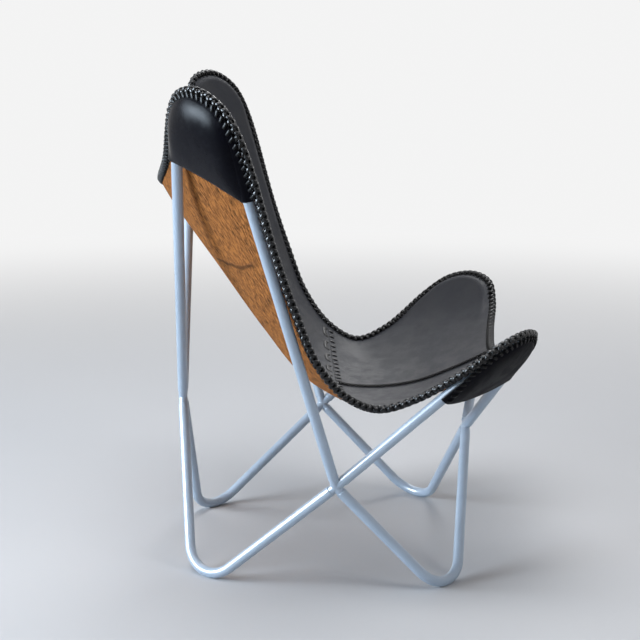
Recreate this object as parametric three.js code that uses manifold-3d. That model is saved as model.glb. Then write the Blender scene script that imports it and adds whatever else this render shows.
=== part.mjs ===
// Butterfly sling chair: a leather sling whose four pockets slip over a knock-down frame of bent steel tube.
//
// The frame is eight V-shaped tubes, four standing as feet and four reaching up as tops, pushed onto the
// spigots of four cross connectors, one at each side, one behind and one in front.
// The sling is three leather panels laced together, with a moulded pocket under each of its four tips.
// Millimetres, +Z up, the chair faces -Y, and its right side (the sitter's right) is at -X.

import * as THREE from 'three';
import { mergeVertices } from 'three/addons/utils/BufferGeometryUtils.js';
import Module from 'manifold-3d';

const wasm = await Module();
wasm.setup();

// Clearance that parts keep where one lies against or inside another
const fitGap = 0.3;

// Frame tube
const tubeDiameter = 19;
const tubeWall = 1.5;
const footBendRadius = 64;
const rearTopBendRadius = 71;
const frontTopBendRadius = 81;
const footContactDepth = 0.7;
const footSinkPasses = 30;
const groundSizeShare = 4;
const tubeSides = 7;
const bendSteps = 9;

// Centres of the four crossings: half width from the middle, depth (back is positive) and height, and how
// far from there the feet and the tops end, which is just enough for tubes that meet at a sharp angle
const sideCrossing = { halfWidth: 289, depth: -21, height: 196, footReach: 12, topReach: 16.2 };
const backCrossing = { halfWidth: 0, depth: 258, height: 288, footReach: 16.2, topReach: 16.2 };
const frontCrossing = { halfWidth: 0, depth: -287, height: 225, footReach: 12, topReach: 12 };

// Corners where the straight arms of each bent tube would meet; the feet's heights follow from the floor
const rearFootCorner = { halfWidth: 202, depth: 236 };
const frontFootCorner = { halfWidth: 281, depth: -236 };
const rearTopCorner = { halfWidth: 479, depth: 239, height: 1104 };
const frontTopCorner = { halfWidth: 366, depth: -396, height: 544 };

// Cross connector: arms that the tube ends butt against with a shoulder, then spigots inside the tubes
const hubArmDiameter = 16.8;
const spigotLength = 32;
const spigotChamfer = 1.5;
const hubSides = 16;

// Leather and lacing
const leatherThickness = 3.5;
const leatherEase = 0.8;
const slingEase = 4;
const lacingDiameter = 12;
const lacingGap = 2.1;
const edgeMargin = 20;
const edgeRise = 2;
const seamGap = 0.6;
const laceDiameter = 4;
const seamLaceEase = 0.4;
const creaseLaceEase = 1.3;
const seamLaceInset = 12;
const creaseLaceHalfWidth = 6;
const creaseLaceEndShare = 0.9;
const creaseLaceStitches = 22;

// Middle line of the sling, from the dip of its top edge down the back and along the seat to the front edge
const dip = { depth: 292, height: 707 };
const upperBack = { depth: 267, height: 665 };
const middleBack = { depth: 190, height: 555 };
const lowerBack = { depth: 104, height: 433 };
const loin = { depth: 34, height: 348 };
const crease = { depth: -35, height: 310 };
const seatBottom = { depth: -110, height: 301 };
const seatMiddle = { depth: -190, height: 311 };
const seatFront = { depth: -262, height: 337 };
const frontMiddle = { depth: -338, height: 372 };

// Sling's edge where it hangs free of the frame: top edge, sides and front edge
const topEdgeInner = { halfWidth: 100, depth: 287, height: 722 };
const topEdgeOuter = { halfWidth: 205, depth: 271, height: 764 };
const sideUpper = { halfWidth: 392, depth: 85, height: 616 };
const sideMiddle = { halfWidth: 367, depth: 53, height: 520 };
const sideLoin = { halfWidth: 343, depth: 17, height: 428 };
const sideCrease = { halfWidth: 311, depth: -35, height: 361 };
const sideBottom = { halfWidth: 291, depth: -93, height: 333 };
const sideThigh = { halfWidth: 308, depth: -156, height: 354 };
const frontEdgeInner = { halfWidth: 110, depth: -350, height: 388 };

// Pockets: how far their hems lie from the corner of the tube, along its side arm and its middle arm
const rearPocket = { sideReach: 414, middleReach: 388, hemSag: -8 };
const frontPocket = { sideReach: 268, middleReach: 282, hemSag: 14 };

// How finely the soft pieces are divided
const acrossShares = [0, 0.2, 0.38, 0.52, 0.63, 0.72, 0.79, 0.845, 0.89, 0.925, 0.955, 0.98, 1];
const backShares = [0, 0.02, 0.045, 0.075, 0.11, 0.15, 0.2, 0.26, 0.33, 0.41, 0.5, 0.6, 0.7, 0.8, 0.9, 1];
const seatShares = [
  0, 0.06, 0.12, 0.18, 0.25, 0.32, 0.4, 0.48, 0.56, 0.64, 0.72, 0.79, 0.85, 0.9, 0.945, 0.98, 1,
];
const pocketSteps = 22;
const pocketInnerRows = 2;
const lacingSteps = 96;
const lacingSides = 3;
const seamSteps = 14;
const lengthDivisions = 1800;
const surfaceStep = 0.01;
const endBlend = 4;
const endAimShare = 0.12;

// Finishes
const powderCoat = new THREE.MeshStandardMaterial({ color: 0xaebfd3, roughness: 0.42, metalness: 0.1 });
const spigotSteel = new THREE.MeshStandardMaterial({ color: 0xa3b4c8, roughness: 0.45, metalness: 0.2 });
const blackLeather = new THREE.MeshStandardMaterial({ color: 0x2b2b2e, roughness: 0.5, metalness: 0 });
const pocketLeather = new THREE.MeshStandardMaterial({ color: 0x17171a, roughness: 0.38, metalness: 0 });
const laceLeather = new THREE.MeshStandardMaterial({ color: 0x141416, roughness: 0.35, metalness: 0 });

const tubeRadius = tubeDiameter / 2;
const boreRadius = tubeRadius - tubeWall;
const lacingRadius = lacingDiameter / 2;
const edgeInset = lacingRadius + lacingGap;
const laceLift = (leatherThickness + laceDiameter) / 2;
const pocketClearance = tubeRadius + leatherThickness / 2 + leatherEase;
const slingClearance = tubeRadius + leatherThickness / 2 + slingEase;

const chair = new THREE.Group();

function place(point, side) {
  return new THREE.Vector3(side * point.halfWidth, point.depth, point.height);
}

function middle(point) {
  return new THREE.Vector3(0, point.depth, point.height);
}

// Bent tube: two straight arms joined by an arc, seen in the flat plane of the bend
class BentTube {
  constructor(corner, sideEnd, middleEnd, bendRadius, sideReach, middleReach) {
    this.corner = corner;
    this.bendRadius = bendRadius;
    this.sideArm = sideEnd.clone().sub(corner).normalize();
    this.middleArm = middleEnd.clone().sub(corner).normalize();
    this.bisector = this.sideArm.clone().add(this.middleArm).normalize();
    this.halfAngle = this.sideArm.angleTo(this.middleArm) / 2;
    this.centre = corner.clone().addScaledVector(this.bisector, bendRadius / Math.sin(this.halfAngle));
    this.across = this.sideArm.clone().addScaledVector(this.bisector, -Math.cos(this.halfAngle)).normalize();
    this.normal = this.bisector.clone().cross(this.across).normalize();
    this.armLength = bendRadius / Math.tan(this.halfAngle);
    this.sweep = Math.PI - 2 * this.halfAngle;
    this.sideReach = sideReach;
    this.middleReach = middleReach;
    this.start = sideEnd.clone().addScaledVector(this.sideArm, -sideReach);
    this.end = middleEnd.clone().addScaledVector(this.middleArm, -middleReach);
  }

  // Direction from the centre of the bend, turned by an angle from the tip towards the side arm
  spoke(angle) {
    return this.bisector.clone().multiplyScalar(-Math.cos(angle))
      .addScaledVector(this.across, Math.sin(angle));
  }

  // In-plane distance outside the tube's centre line, and height in front of its plane
  measure(point) {
    const offset = point.clone().sub(this.centre);
    const height = offset.dot(this.normal);
    const along = offset.dot(this.bisector);
    const aside = offset.dot(this.across);
    const angle = Math.atan2(Math.abs(aside), -along);
    if (angle < this.sweep / 2) return { outside: Math.hypot(along, aside) - this.bendRadius, height };
    const outward = Math.cos(this.halfAngle) * Math.abs(aside) - Math.sin(this.halfAngle) * along;
    return { outside: outward - this.bendRadius, height };
  }

  // Point beside the tube: on the bend by an angle, or beyond it by a distance from the corner along an arm
  beside(angle, outside, height) {
    return this.centre.clone().addScaledVector(this.spoke(angle), this.bendRadius + outside)
      .addScaledVector(this.normal, height);
  }

  besideArm(arm, reach, outside, height) {
    const outward = arm === this.sideArm ? this.spoke(this.sweep / 2) : this.spoke(-this.sweep / 2);
    return this.corner.clone().addScaledVector(arm, reach).addScaledVector(outward, outside)
      .addScaledVector(this.normal, height);
  }
}

// Centre line for the extrusion, with sections only at the ends of the arms and round the bend
class BendPath extends THREE.Curve {
  constructor(tube) {
    super();
    this.tube = tube;
  }

  getUtoTmapping(u) {
    return u;
  }

  getPoint(t) {
    const { tube } = this;
    const step = t * (bendSteps + 2);
    if (step <= 1) return tube.start.clone().lerp(tube.beside(tube.sweep / 2, 0, 0), step);
    if (step >= bendSteps + 1) return tube.beside(-tube.sweep / 2, 0, 0).lerp(tube.end, step - bendSteps - 1);
    return tube.beside(tube.sweep * (0.5 - (step - 1) / bendSteps), 0, 0);
  }

  getTangent(t) {
    const { tube } = this;
    const step = THREE.MathUtils.clamp(t * (bendSteps + 2), 1, bendSteps + 1);
    const angle = tube.sweep * (0.5 - (step - 1) / bendSteps);
    return tube.spoke(angle - Math.PI / 2);
  }
}

function ringShape(outerRadius, innerRadius) {
  const shape = new THREE.Shape();
  shape.absarc(0, 0, outerRadius, 0, 2 * Math.PI);
  if (innerRadius > 0) {
    const bore = new THREE.Path();
    bore.absarc(0, 0, innerRadius, 0, 2 * Math.PI, true);
    shape.holes.push(bore);
  }
  return shape;
}

function tubeGeometry(tube) {
  return new THREE.ExtrudeGeometry(ringShape(tubeRadius, boreRadius), {
    steps: bendSteps + 2,
    extrudePath: new BendPath(tube),
    curveSegments: tubeSides,
    bevelEnabled: false,
  });
}

function toSolid(geometry) {
  const bare = geometry.clone();
  bare.deleteAttribute('normal');
  bare.deleteAttribute('uv');
  const merged = mergeVertices(bare, fitGap / 1000);
  const mesh = new wasm.Mesh({
    numProp: 3,
    vertProperties: new Float32Array(merged.attributes.position.array),
    triVerts: new Uint32Array(merged.index.array),
  });
  return new wasm.Manifold(mesh);
}

function toGeometry(solid) {
  const mesh = solid.getMesh();
  const geometry = new THREE.BufferGeometry();
  geometry.setAttribute('position', new THREE.BufferAttribute(new Float32Array(mesh.vertProperties), 3));
  geometry.setIndex(new THREE.BufferAttribute(new Uint32Array(mesh.triVerts), 1));
  geometry.computeVertexNormals();
  return geometry;
}

function addMesh(name, geometry, material) {
  const mesh = new THREE.Mesh(geometry, material);
  mesh.name = name;
  chair.add(mesh);
}

// A foot's corner sinks until the underside of its bend lies just below the floor, where it is cut flat
function footTube(corner, side, middleCrossing) {
  const point = new THREE.Vector3(side * corner.halfWidth, corner.depth, 0);
  const bend = () => new BentTube(point, place(sideCrossing, side), middle(middleCrossing), footBendRadius,
    sideCrossing.footReach, middleCrossing.footReach);
  let tube = bend();
  for (let pass = 0; pass < footSinkPasses; pass += 1) {
    const tilt = Math.hypot(tube.bisector.z, tube.across.z);
    const lowest = tube.centre.z - footBendRadius * tilt - tubeRadius;
    point.z -= lowest + footContactDepth;
    tube = bend();
  }
  return tube;
}

function addFoot(name, tube) {
  const size = footBendRadius * groundSizeShare;
  const ground = new THREE.BoxGeometry(size, size, size);
  ground.translate(tube.corner.x, tube.corner.y, -size / 2);
  addMesh(name, toGeometry(toSolid(tubeGeometry(tube)).subtract(toSolid(ground))), powderCoat);
}

function topTube(corner, side, middleCrossing, bendRadius) {
  return new BentTube(place(corner, side), place(sideCrossing, side), middle(middleCrossing), bendRadius,
    sideCrossing.topReach, middleCrossing.topReach);
}

function sideTubes(side) {
  return {
    rearFoot: footTube(rearFootCorner, side, backCrossing),
    frontFoot: footTube(frontFootCorner, side, frontCrossing),
    rearTop: topTube(rearTopCorner, side, backCrossing, rearTopBendRadius),
    frontTop: topTube(frontTopCorner, side, frontCrossing, frontTopBendRadius),
  };
}

// Cross connector: each arm is turned about its own axis, and the four meet in a round weld
function hubArm(centre, { direction, reach }) {
  const spigotRadius = boreRadius - fitGap;
  const tip = reach + spigotLength;
  const profile = [
    new THREE.Vector2(0, 0),
    new THREE.Vector2(hubArmDiameter / 2, 0),
    new THREE.Vector2(hubArmDiameter / 2, reach - fitGap),
    new THREE.Vector2(spigotRadius, reach - fitGap),
    new THREE.Vector2(spigotRadius, tip - spigotChamfer),
    new THREE.Vector2(spigotRadius - spigotChamfer, tip),
    new THREE.Vector2(0, tip),
  ];
  const arm = new THREE.LatheGeometry(profile, hubSides);
  arm.applyQuaternion(new THREE.Quaternion().setFromUnitVectors(new THREE.Vector3(0, 1, 0), direction));
  arm.translate(centre.x, centre.y, centre.z);
  return arm;
}

function addConnector(name, centre, arms) {
  const weld = new THREE.SphereGeometry(hubArmDiameter / 2, hubSides, hubSides / 2);
  weld.translate(centre.x, centre.y, centre.z);
  let hub = toSolid(weld);
  for (const arm of arms) hub = hub.add(toSolid(hubArm(centre, arm)));
  addMesh(name, toGeometry(hub), spigotSteel);
}

// The sitter's side of a top's plane is up and towards the middle, whichever way its normal points
function frontward(tube) {
  return Math.sign(tube.normal.z);
}

// Outline of the sling, half way round: dip, rear tip, side, front tip, middle of the front edge
function outline(side, tubes) {
  const roundTip = (tube, shares) => shares.map((share) => (
    tube.beside(share * tube.sweep / 2, edgeMargin, frontward(tube) * edgeRise)));
  const arcShares = [-1, -0.5, 0, 0.5, 1];
  const back = [middle(dip), place(topEdgeInner, side), place(topEdgeOuter, side)];
  const flank = [sideUpper, sideMiddle, sideLoin, sideCrease, sideBottom, sideThigh]
    .map((point) => place(point, side));
  const front = [place(frontEdgeInner, side), middle(frontMiddle)];
  const points = [
    ...back, ...roundTip(tubes.rearTop, arcShares), ...flank,
    ...roundTip(tubes.frontTop, arcShares.toReversed()), ...front,
  ];
  const curve = new THREE.CatmullRomCurve3(points, false, 'centripetal');
  const lengths = curve.getLengths(lengthDivisions);
  const shareAt = (wanted) => {
    const index = points.findIndex((point) => point.distanceTo(wanted) < fitGap);
    return lengths[Math.round(index / (points.length - 1) * lengthDivisions)] / lengths[lengthDivisions];
  };
  return {
    curve,
    rearTip: shareAt(roundTip(tubes.rearTop, [0])[0]),
    crease: shareAt(place(sideCrease, side)),
    frontTip: shareAt(roundTip(tubes.frontTop, [0])[0]),
  };
}

// Leather is lifted off a tube it would touch, in a round ridge with straight flanks
function liftOffTube(point, tube) {
  const { outside, height } = tube.measure(point);
  const reach = Math.abs(outside);
  const flank = slingClearance * Math.SQRT1_2;
  const ridge = reach < flank ? Math.sqrt(slingClearance ** 2 - reach ** 2) : 2 * flank - reach;
  const rise = height * frontward(tube);
  const blend = Math.max(leatherThickness - Math.abs(rise - ridge), 0);
  const lifted = Math.max(rise, ridge) + blend * blend / (4 * leatherThickness);
  return point.clone().addScaledVector(tube.normal, (lifted - rise) * frontward(tube));
}

// Sling surface of one half: across runs from the middle line (0) to the edge (1), and down from the top
// edge (0) over the crease (1) to the front edge (2)
class SlingHalf {
  constructor(side, tubes) {
    this.tubes = [tubes.rearTop, tubes.frontTop];
    this.edge = outline(side, tubes);
    const spinePoints = [
      dip, upperBack, middleBack, lowerBack, loin, crease, seatBottom, seatMiddle, seatFront, frontMiddle,
    ];
    this.spine = new THREE.CatmullRomCurve3(spinePoints.map(middle), false, 'centripetal');
    const lengths = this.spine.getLengths(lengthDivisions);
    const creaseIndex = spinePoints.indexOf(crease) / (spinePoints.length - 1) * lengthDivisions;
    this.spineCrease = lengths[Math.round(creaseIndex)] / lengths[lengthDivisions];
  }

  static between(down, from, via, to) {
    return down < 1 ? THREE.MathUtils.lerp(from, via, down) : THREE.MathUtils.lerp(via, to, down - 1);
  }

  // Cut edge of the leather, just inside the lacing
  cutEdge(share, inner) {
    const point = this.edge.curve.getPointAt(share);
    const tangent = this.edge.curve.getTangentAt(share);
    const inward = inner.clone().sub(point);
    inward.addScaledVector(tangent, -inward.dot(tangent)).normalize();
    return point.addScaledVector(inward, edgeInset);
  }

  static bowed(from, to, across) {
    const bow = across * across;
    const point = new THREE.Vector3().lerpVectors(from, to, bow);
    point.x = to.x * across;
    return point;
  }

  surface(across, down) {
    const { spine, edge } = this;
    const spinePoint = spine.getPointAt(SlingHalf.between(down, 0, this.spineCrease, 1));
    const edgeShare = SlingHalf.between(down, edge.rearTip, edge.crease, edge.frontTip);
    const point = SlingHalf.bowed(spinePoint, this.cutEdge(edgeShare, spinePoint), across);
    const ends = [
      { weight: Math.max(1 - down, 0) ** endBlend, tip: edge.rearTip, end: 0, aim: endAimShare },
      { weight: Math.max(down - 1, 0) ** endBlend, tip: edge.frontTip, end: 1, aim: 1 - endAimShare },
    ];
    for (const { weight, tip, end, aim } of ends) {
      const wanted = this.cutEdge(THREE.MathUtils.lerp(end, tip, across), spine.getPointAt(aim));
      const start = this.cutEdge(end, spine.getPointAt(aim));
      const plain = SlingHalf.bowed(spine.getPointAt(end), this.cutEdge(tip, spine.getPointAt(end)), across);
      wanted.x -= start.x * (1 - across);
      point.addScaledVector(wanted.sub(plain), weight);
    }
    return this.tubes.reduce(liftOffTube, point);
  }

  // Point and unit normal on the sitter's side
  vertex(across, down) {
    const step = surfaceStep;
    const point = this.surface(across, down);
    const alongAcross = this.surface(Math.min(across + step, 1), down)
      .sub(this.surface(Math.max(across - step, 0), down));
    const alongDown = this.surface(across, Math.min(down + step, 2))
      .sub(this.surface(across, Math.max(down - step, 0)));
    if (across === 0) alongAcross.set(alongAcross.x, 0, 0);
    return { point, normal: alongDown.cross(alongAcross).normalize() };
  }
}

// Closed sheet from a grid of points with normals, as thick on one side of the grid as on the other.
// A vertex that is used twice in the grid closes a row to a point.
function sheetGeometry(grid, thickness) {
  const [here, beside, below] = [grid[0][1], grid[0][2], grid[1][1]];
  const turn = below.point.clone().sub(here.point).cross(beside.point.clone().sub(here.point));
  const rows = turn.dot(here.normal) > 0 ? grid : grid.map((row) => row.toReversed());
  const indices = new Map();
  const vertices = [];
  for (const vertex of rows.flat()) {
    if (!indices.has(vertex)) {
      indices.set(vertex, vertices.length / 6);
      vertices.push(...vertex.point.clone().addScaledVector(vertex.normal, thickness / 2).toArray());
      vertices.push(...vertex.point.clone().addScaledVector(vertex.normal, -thickness / 2).toArray());
    }
  }
  const faces = [];
  const face = (a, b, c) => {
    if (a !== b && b !== c && c !== a) faces.push(a, b, c);
  };
  const front = (row, column) => 2 * indices.get(rows[row][column]);
  const lastRow = rows.length - 1;
  const lastColumn = rows[0].length - 1;
  for (let row = 0; row < lastRow; row += 1) {
    for (let column = 0; column < lastColumn; column += 1) {
      const [a, b] = [front(row, column), front(row, column + 1)];
      const [c, d] = [front(row + 1, column + 1), front(row + 1, column)];
      face(a, c, b);
      face(a, d, c);
      face(a + 1, b + 1, c + 1);
      face(a + 1, c + 1, d + 1);
    }
  }
  const rim = [
    ...rows[0].map((vertex, column) => front(0, column)),
    ...rows.slice(1).map((row, index) => front(index + 1, lastColumn)),
    ...rows[0].slice(1).map((vertex, index) => front(lastRow, lastColumn - index - 1)),
    ...rows.slice(1, lastRow).map((row, index) => front(lastRow - index - 1, 0)),
  ];
  rim.forEach((corner, index) => {
    const next = rim[(index + 1) % rim.length];
    if (corner !== next) faces.push(corner, next + 1, corner + 1, corner, next, next + 1);
  });
  const geometry = new THREE.BufferGeometry();
  geometry.setAttribute('position', new THREE.Float32BufferAttribute(vertices, 3));
  geometry.setIndex(faces);
  geometry.computeVertexNormals();
  return geometry;
}

const steps = (count, from, to) => Array.from({ length: count + 1 }, (_, index) => (
  THREE.MathUtils.lerp(from, to, index / count)));

const mirrored = ({ point, normal }) => ({
  point: new THREE.Vector3(-point.x, point.y, point.z),
  normal: new THREE.Vector3(-normal.x, normal.y, normal.z),
});

function addPanels(half) {
  const back = backShares.map((down) => {
    const left = acrossShares.map((across) => half.vertex(across, down));
    return [...left.slice(1).map(mirrored).toReversed(), ...left];
  });
  addMesh('back_panel', sheetGeometry(back, leatherThickness), blackLeather);
  const seat = seatShares.map((share) => acrossShares.map((across) => {
    const { point, normal } = half.vertex(across, 1 + share);
    point.x += seamGap / 2 * (1 - across);
    if (share === 0) {
      const onward = half.surface(across, 1 + surfaceStep).sub(half.surface(across, 1)).normalize();
      point.addScaledVector(onward, seamGap);
    }
    return { point, normal };
  }));
  addMesh('seat_panel_left', sheetGeometry(seat, leatherThickness), blackLeather);
  addMesh('seat_panel_right', sheetGeometry(seat.map((row) => row.map(mirrored)), leatherThickness),
    blackLeather);
}

// Pocket: wraps the outer side of the bend, from the lacing to the tube's back, and spans flat to its hem
function pocketRows(tube, { sideReach, middleReach, hemSag }) {
  const behind = -frontward(tube);
  const outerEdge = edgeMargin - edgeInset;
  const flank = pocketClearance * Math.SQRT1_2;
  const arc = tube.sweep * tube.bendRadius;
  const lengths = [middleReach - tube.armLength, arc, sideReach - tube.armLength];
  const total = lengths[0] + lengths[1] + lengths[2];
  const spot = (share, outside, height) => {
    const run = share * total;
    if (run < lengths[0]) return tube.besideArm(tube.middleArm, middleReach - run, outside, height);
    if (run > total - lengths[2]) {
      return tube.besideArm(tube.sideArm, sideReach - (total - run), outside, height);
    }
    return tube.beside(((run - lengths[0]) / arc - 0.5) * tube.sweep, outside, height);
  };
  const wrapped = (share, { outside, height, angle }) => ({
    point: spot(share, outside, behind * height),
    normal: spot(share, Math.sin(angle), behind * Math.cos(angle)).sub(spot(share, 0, 0)),
  });
  const wrap = [
    { outside: outerEdge, height: 2 * flank - outerEdge, angle: Math.PI / 4 },
    { outside: flank, height: flank, angle: Math.PI / 4 },
    { outside: pocketClearance * Math.sin(Math.PI / 8), height: pocketClearance * Math.cos(Math.PI / 8),
      angle: Math.PI / 8 },
    { outside: 0, height: pocketClearance, angle: 0 },
  ];
  const shares = steps(pocketSteps, 0, 1);
  const rows = wrap.map((line) => shares.map((share) => wrapped(share, line)));
  const spine = rows[rows.length - 1];
  const [hemStart, hemEnd] = [spine[0], spine[pocketSteps]];
  for (const depth of steps(pocketInnerRows, 0, 1).slice(1)) {
    rows.push(spine.map((top, index) => {
      if (index === 0 || index === pocketSteps) return top;
      const share = shares[index];
      const hem = hemStart.point.clone().lerp(hemEnd.point, share)
        .addScaledVector(tube.bisector, hemSag * 4 * share * (1 - share));
      return { point: top.point.clone().lerp(hem, depth), normal: top.normal };
    }));
  }
  return rows;
}

function addPocket(name, tube, sizes) {
  addMesh(name, sheetGeometry(pocketRows(tube, sizes), leatherThickness), pocketLeather);
}

// Path with one section at each of its points, square to the way through it
class PointPath extends THREE.Curve {
  constructor(points, endDirections = []) {
    super();
    this.points = points;
    this.endDirections = endDirections;
  }

  getUtoTmapping(u) {
    return u;
  }

  getPoint(t) {
    const step = t * (this.points.length - 1);
    const index = Math.min(Math.floor(step), this.points.length - 2);
    return this.points[index].clone().lerp(this.points[index + 1], step - index);
  }

  getTangent(t) {
    const index = Math.round(t * (this.points.length - 1));
    if (this.endDirections[index]) return this.endDirections[index].clone();
    const before = this.points[Math.max(index - 1, 0)];
    const after = this.points[Math.min(index + 1, this.points.length - 1)];
    return after.clone().sub(before).normalize();
  }
}

function laceGeometry(points, diameter, endDirections) {
  return new THREE.ExtrudeGeometry(ringShape(diameter / 2, 0), {
    steps: points.length - 1,
    extrudePath: new PointPath(points, endDirections),
    curveSegments: lacingSides,
    bevelEnabled: false,
  });
}

function addEdgeLacing(name, side, curve) {
  const points = steps(lacingSteps, 0, 1).map((share) => curve.getPointAt(share));
  for (const end of [points[0], points[lacingSteps]]) end.x = side * fitGap;
  const endDirections = { 0: new THREE.Vector3(side, 0, 0), [lacingSteps]: new THREE.Vector3(-side, 0, 0) };
  addMesh(name, laceGeometry(points, lacingDiameter, endDirections), laceLeather);
}

function addSeamLacing(half) {
  const length = half.spine.getLength();
  const first = half.spineCrease + seamLaceInset / length;
  const last = 1 - seamLaceInset / length;
  const points = steps(seamSteps, first, last).map((share) => {
    const down = 1 + (share - half.spineCrease) / (1 - half.spineCrease);
    const { point, normal } = half.vertex(0, down);
    return point.addScaledVector(normal, laceLift + seamLaceEase);
  });
  addMesh('seat_seam_lacing', laceGeometry(points, laceDiameter), laceLeather);
}

// One lace runs to and fro over the crease between back and seat
function addCreaseLacing(half) {
  const length = half.spine.getLength();
  const above = creaseLaceHalfWidth / (length * half.spineCrease);
  const below = creaseLaceHalfWidth / (length * (1 - half.spineCrease));
  const points = steps(creaseLaceStitches, -creaseLaceEndShare, creaseLaceEndShare).map((across, index) => {
    const { point, normal } = half.vertex(Math.abs(across), index % 2 === 0 ? 1 - above : 1 + below);
    point.addScaledVector(normal, laceLift + creaseLaceEase);
    point.x *= across < 0 ? -1 : 1;
    return point;
  });
  addMesh('crease_lacing', laceGeometry(points, laceDiameter), laceLeather);
}

const tubesOf = { right: sideTubes(-1), left: sideTubes(1) };
const sideSigns = { right: -1, left: 1 };

for (const word of ['right', 'left']) {
  const side = sideSigns[word];
  const { rearFoot, frontFoot, rearTop, frontTop } = tubesOf[word];
  addFoot(`foot_rear_${word}`, rearFoot);
  addFoot(`foot_front_${word}`, frontFoot);
  addMesh(`top_rear_${word}`, tubeGeometry(rearTop), powderCoat);
  addMesh(`top_front_${word}`, tubeGeometry(frontTop), powderCoat);
  addConnector(`cross_${word}`, place(sideCrossing, side),
    [rearFoot, frontFoot, rearTop, frontTop].map((tube) => (
      { direction: tube.sideArm.clone().negate(), reach: tube.sideReach })));
  addPocket(`pocket_rear_${word}`, rearTop, rearPocket);
  addPocket(`pocket_front_${word}`, frontTop, frontPocket);
  addEdgeLacing(`edge_lacing_${word}`, side, outline(side, tubesOf[word]).curve);
}

for (const [word, crossing, kinds] of [
  ['back', backCrossing, ['rearFoot', 'rearTop']],
  ['front', frontCrossing, ['frontFoot', 'frontTop']],
]) {
  const tubes = Object.values(tubesOf).flatMap((sideTubesOf) => kinds.map((kind) => sideTubesOf[kind]));
  addConnector(`cross_${word}`, middle(crossing), tubes.map((tube) => (
    { direction: tube.middleArm.clone().negate(), reach: tube.middleReach })));
}

const leftHalf = new SlingHalf(1, tubesOf.left);
addPanels(leftHalf);
addSeamLacing(leftHalf);
addCreaseLacing(leftHalf);

// The chair stands on the floor with its origin under the middle of its outline
const bounds = new THREE.Box3().setFromObject(chair);
const centre = bounds.getCenter(new THREE.Vector3());
chair.position.set(-centre.x, -centre.y, -bounds.min.z);

export default chair;
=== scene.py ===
"""Butterfly sling chair: the looks of its bent tube frame, laced leather sling and moulded pockets."""

import math
from typing import NamedTuple

import bpy
import numpy as np
from mathutils import Matrix


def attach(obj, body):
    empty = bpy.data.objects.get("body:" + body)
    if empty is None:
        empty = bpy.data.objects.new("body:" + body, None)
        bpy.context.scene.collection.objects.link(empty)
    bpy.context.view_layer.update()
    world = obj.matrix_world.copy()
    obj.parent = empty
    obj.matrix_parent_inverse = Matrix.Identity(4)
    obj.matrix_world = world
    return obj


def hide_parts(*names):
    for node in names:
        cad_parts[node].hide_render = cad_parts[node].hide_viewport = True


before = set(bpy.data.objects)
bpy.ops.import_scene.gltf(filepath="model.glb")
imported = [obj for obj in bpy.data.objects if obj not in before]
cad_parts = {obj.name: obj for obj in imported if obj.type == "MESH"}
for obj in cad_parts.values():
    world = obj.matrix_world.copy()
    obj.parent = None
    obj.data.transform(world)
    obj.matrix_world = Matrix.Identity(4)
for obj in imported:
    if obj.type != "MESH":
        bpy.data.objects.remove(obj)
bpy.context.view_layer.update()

bl_info = {
    "name": "Butterfly Sling Chair",
    "version": (1, 0, 0),
    "blender": (4, 5, 0),
    "location": "View3D > Sidebar > Sling Chair",
    "description": "Bent tube frame with a laced leather sling, built around a packed model",
    "category": "Add Mesh",
}

# All sizes are in metres, with +Z up and the front of the chair towards -Y. The places below are moved back
# by this much, so that the chair stands on its own middle.
DEPTH_SHIFT = 0.03954
SIDES = {"right": -1, "left": 1}
MIRROR = np.array([-1.0, 1.0, 1.0])

# Centres of the crossings, and how far from them the feet and the tops end
SIDE_CROSSING, SIDE_REACHES = (0.289, -0.021, 0.196), {"foot": 0.012, "top": 0.0162}
BACK_CROSSING, BACK_REACHES = (0.0, 0.258, 0.288), {"foot": 0.0162, "top": 0.0162}
FRONT_CROSSING, FRONT_REACHES = (0.0, -0.287, 0.225), {"foot": 0.012, "top": 0.012}

# Corners of the bent tubes' middle lines, before they are rounded
REAR_FOOT_CORNER = (0.202, 0.236, 0.0)
FRONT_FOOT_CORNER = (0.281, -0.236, 0.0)
REAR_TOP_CORNER = (0.479, 0.239, 1.104)
FRONT_TOP_CORNER = (0.366, -0.396, 0.544)
FOOT_BEND_RADIUS = 0.064
REAR_TOP_BEND_RADIUS = 0.071
FRONT_TOP_BEND_RADIUS = 0.081
FOOT_CONTACT_DEPTH = 0.0007
FOOT_SINK_PASSES = 30
TUBE_RADIUS = 0.0095
TUBE_WALL = 0.0015
TUBE_CHAMFER = 0.0005
TUBE_SIDES = 40
TUBE_BEND_STATIONS = 29
TUBE_ARM_STATIONS = 8
TUBE_ARM_ENDS = (0.02, 0.01)

# Connectors: arms that fill up to the tubes' ends, and spigots inside the tubes
SPIGOT_LENGTH = 0.032
SPIGOT_CHAMFER = 0.0015
FIT_GAP = 0.0003
HUB_ARM_RADIUS = 0.0084
HUB_SIDES = 32
HUB_BALL_RINGS = 9
HUB_BALL_REACH = 0.49
WELD_VOXEL = 0.0007
WELD_SMOOTHING = 3

# Leather, its cut edges, and how close it lies on the tubes
LEATHER_THICKNESS = 0.0035
RIM_ROUND = 0.4
SLING_EASE = 0.0004
SLING_EDGE_INSET = 0.0073
SLING_CROWDING = 0.5
EDGE_CROWDING = 0.65
SEAM_GAP = 0.0006
BACK_GRID = (150, 91)
SEAT_GRID = (120, 91)

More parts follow.
